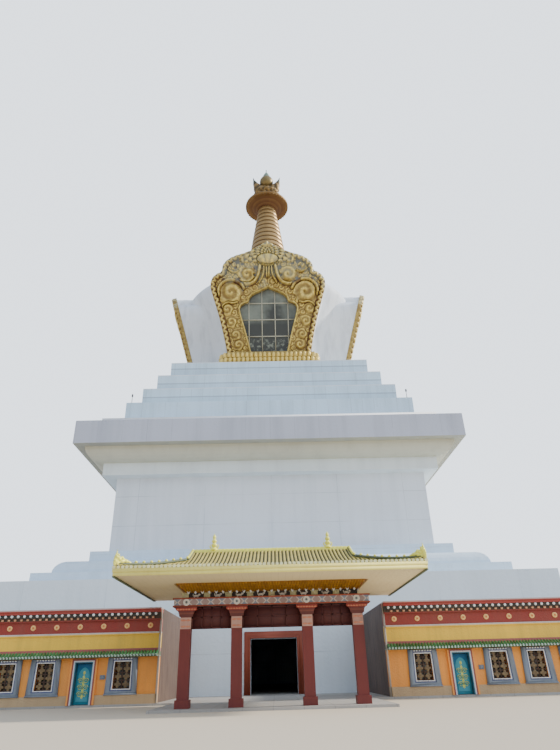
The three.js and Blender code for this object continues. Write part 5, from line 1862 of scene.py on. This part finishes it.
# %% Transoms between the columns
transom_parts = []
RAIL_OUT, RAIL_IN = -BEAM_Y + 0.16, -BEAM_Y + 0.21
for low, high in ((-3.44, -1.72), (-1.28, 1.28), (1.72, 3.44)):
    transom_parts.append(block((low, -BEAM_Y + 0.2, 3.0), (high, -BEAM_Y + 0.28, 3.9)))
    for z in (3.0, 3.42, 3.8):
        transom_parts.append(block((low, RAIL_OUT, z), (high, RAIL_IN, z + 0.06)))
    for x in np.linspace(low + 0.03, high - 0.03, 5):
        transom_parts.append(block((x - 0.03, RAIL_OUT, 3.0), (x + 0.03, RAIL_IN, 3.86)))
transom_paint = plain_paint(
    "dark maroon timber", (88, 36, 32), (48, 26, 24), 0.1, 0.4, 5.0, bump=0.003
)
piece("porch_transoms", joined(*transom_parts), transom_paint, smooth=0)

# %% [markdown]
# The recess behind the porch has dark side walls of grey-brown timber boards, whose dark tone is
# partly painted shade of the covered recess, cream corner posts and a maroon screen round the
# doorway, which the low light keeps in shadow.

# %% Recess walls and posts
def boards(n):
    """Dark grey-brown boards, their darkness partly painted shade: fine noise stretched 12 times in
    height, with dark joints.
    """
    place = n.place()
    grain = n.noise(n.stretched(place, (3.0, 3.0, 0.25)), 6.0, 5.0)
    fold = n.maths("PINGPONG", n.axes(place)[1], 0.15 * HALF_SIZE)
    joint = n.maths("LESS_THAN", fold, 0.012 * HALF_SIZE)
    # The board colours are darkened as painted shade of the recess.
    wood = n.mixed(n.ramp(grain, 0.3, 0.7), shade(72, 52, 44), shade(122, 98, 82))
    return n.mixed(joint, wood, shade(48, 38, 34))


recess_boards = finish(
    "recess boards", painted(boards, shade(64, 54, 48), 0.1, 0.3, 4.0), bump=0.004
)
dress(["recess_wall_left", "recess_wall_right"], recess_boards)
post = block((-0.045, -27.66, 0.1), (0.045, -27.58, 4.42))
post_paint = plain_paint("corner post paint", (190, 178, 164), (132, 122, 112), 0.15, 0.25, 4.0)
piece("recess_corner_posts", copies(post, [(-5.86, 0, 0), (5.86, 0, 0)]), post_paint, smooth=0)
entrance_bands = joined(
    surround(opening(1.9, 1.9, 0.1, 3.7), opening(1.5, 1.5, 0.1, 3.3), 0.12),
    surround(opening(1.62, 1.62, 0.1, 3.42), opening(1.5, 1.5, 0.1, 3.3), 0.18),
)
piece(
    "entrance_surround", copies(entrance_bands, [(0, -19.6, 0)]), carved_red,
    smooth=0,
)


# %% [markdown]
# ## The two side doors
# Each teal door has a lighter arched panel with gilt scrollwork, and its frame is painted in
# flat bands of teal, pale grey, maroon and orange. What is on the leaf rides with the leaf,
# so it swings with the hinge.

# %% Door leaves
DOOR_X, LEAF_FACE = 9.6, -27.45


def leaf_paint(n):
    """Teal that turns bluer and deeper over the upper third of the leaf."""
    height = n.axes()[2]
    return n.mixed(
        n.ramp(height, 1.0 * HALF_SIZE, 1.9 * HALF_SIZE), shade(40, 128, 146), shade(24, 98, 146)
    )


teal = finish("teal door paint", painted(leaf_paint, shade(30, 84, 96), 0.25, 0.3, 5.0), bump=0.002)
panel_teal = plain_paint(
    "lighter teal panel", (74, 158, 172), (50, 120, 134), 0.15, 0.3, 6.0, bump=0.002
)
scroll_gold = gilt(
    "door scroll gilding", (222, 226, 118), (132, 136, 58), 0.25, 12.0, stored=False, bump=0.002
)


def arched_panel(half, low, spring, rise, proud, steps=14):
    """A flat panel with a pointed arch: above the spring the half width falls as one minus
    height squared, to the power 0.6. Each row is a closed slice from back to front."""
    z = np.concatenate(
        [[low, spring], spring + rise * np.sin(np.linspace(0.1, 1, steps) * np.pi / 2)]
    )
    half_at = np.where(
        z <= spring, half, half * np.sqrt(np.clip(1 - ((z - spring) / rise) ** 2, 0, 1)) ** 1.2
    )
    section = np.array([(-1, 0), (-1, -1), (-0.9, -1.4), (0.9, -1.4), (1, -1), (1, 0)])
    x = half_at[:, None] * section[None, :, 0]
    y = proud * section[None, :, 1] + 0 * x
    points, faces = grid(np.stack([x, y, z[:, None] + 0 * x], -1), ring=True)
    return points, np.concatenate([faces, [[0, 1, 2, 3], [0, 3, 4, 5]]])


def vine(turns, radius, x, z, proud):
    """A flat spiral rod: the angle runs `turns` times round while the radius shrinks."""
    t = np.linspace(0, 1, 26)
    angle = np.abs(turns) * TAU * t
    r = radius * (1 - t) ** 0.8 + 0.006
    line = [x + np.sign(turns) * r * np.cos(angle), -proud + 0 * t, z + r * np.sin(angle)]
    return tube(np.column_stack(line), 0.016, columns=6)


stem = np.column_stack([np.zeros(20), np.full(20, -0.02), np.linspace(0.4, 1.6, 20)])
scrollwork = joined(
    *[vine(s * 1.6, 0.13, s * 0.14, z, 0.03) for s in (-1, 1) for z in (0.56, 0.86, 1.16)],
    *[moved(mound(0.07, 0.1, 0.02), 0.0, z) for z in (0.46, 0.72, 1.02, 1.32, 1.52)],
    tube(stem, 0.012, columns=6),
)
arch = arched_panel(0.29, 0.25, 1.35, 0.42, 0.012)
for side, x in (("left", -DOOR_X), ("right", DOOR_X)):
    body = f"door_leaf_{side}"
    dress([f"door_{side}"], teal)
    panel = (arch[0] + (x, LEAF_FACE, 0), arch[1])
    scrolls = (scrollwork[0] + (x, LEAF_FACE - 0.005, 0), scrollwork[1])
    piece(f"door_panel_{side}", panel, panel_teal, body=body, smooth=30)
    piece(f"door_scrolls_{side}", scrolls, scroll_gold, body=body, smooth=60)

# %% Door frames and blank plates
def frame_paint(n):
    """Four flat bands by the distance from the doorway: teal, pale grey, maroon, orange. The
    distance is the larger of the one across and the one up from the doorway's head."""
    place = n.place()
    axes = n.axes(place)
    across = n.maths("SUBTRACT", n.maths("ABSOLUTE", axes[0]), DOOR_X * HALF_SIZE)
    across = n.maths("ABSOLUTE", across)
    away = n.maths("MAXIMUM", across, n.maths("SUBTRACT", axes[2], 1.55 * HALF_SIZE))
    paint = shade(36, 110, 132)
    for level, outer in ((0.455, shade(214, 218, 222)), (0.52, shade(152, 66, 54)), (0.6, orange)):
        paint = n.mixed(n.maths("GREATER_THAN", away, level * HALF_SIZE), paint, outer)
    return paint


frame_bands = finish("door frame bands", painted(frame_paint, shade(140, 132, 128), 0.2, 0.2, 5.0))
dress(["door_frame_left", "door_frame_right"], frame_bands)
plate = surround(opening(0.13, 0.13, -0.1, 0.1), opening(0.1, 0.1, -0.07, 0.07), 0.04)
plate_face = block((-0.11, -0.025, -0.08), (0.11, 0.0, 0.08))
plate_places = [(x, -WALL_OUT, 1.3) for x in (-8.62, 10.58)]
piece("blank_plates", copies(joined(plate, plate_face), plate_places), slate_paint, smooth=0)


# %% [markdown]
# ## Floor and the end
# A plain pale floor carries the model.

# %% The floor
floor_finish = finish("pale floor", shade(206, 192, 170), 0.85)
reach = 300.0
floor_mesh = bpy.data.meshes.new("studio_floor")
floor_corners = [(x * reach, y * reach, 0) for x, y in ((-1, -1), (1, -1), (1, 1), (-1, 1))]
floor_mesh.from_pydata(floor_corners, [], [(0, 1, 2, 3)])
floor_mesh.materials.append(floor_finish)
studio_floor = bpy.data.objects.new("studio_floor", floor_mesh)
bpy.context.scene.collection.objects.link(studio_floor)
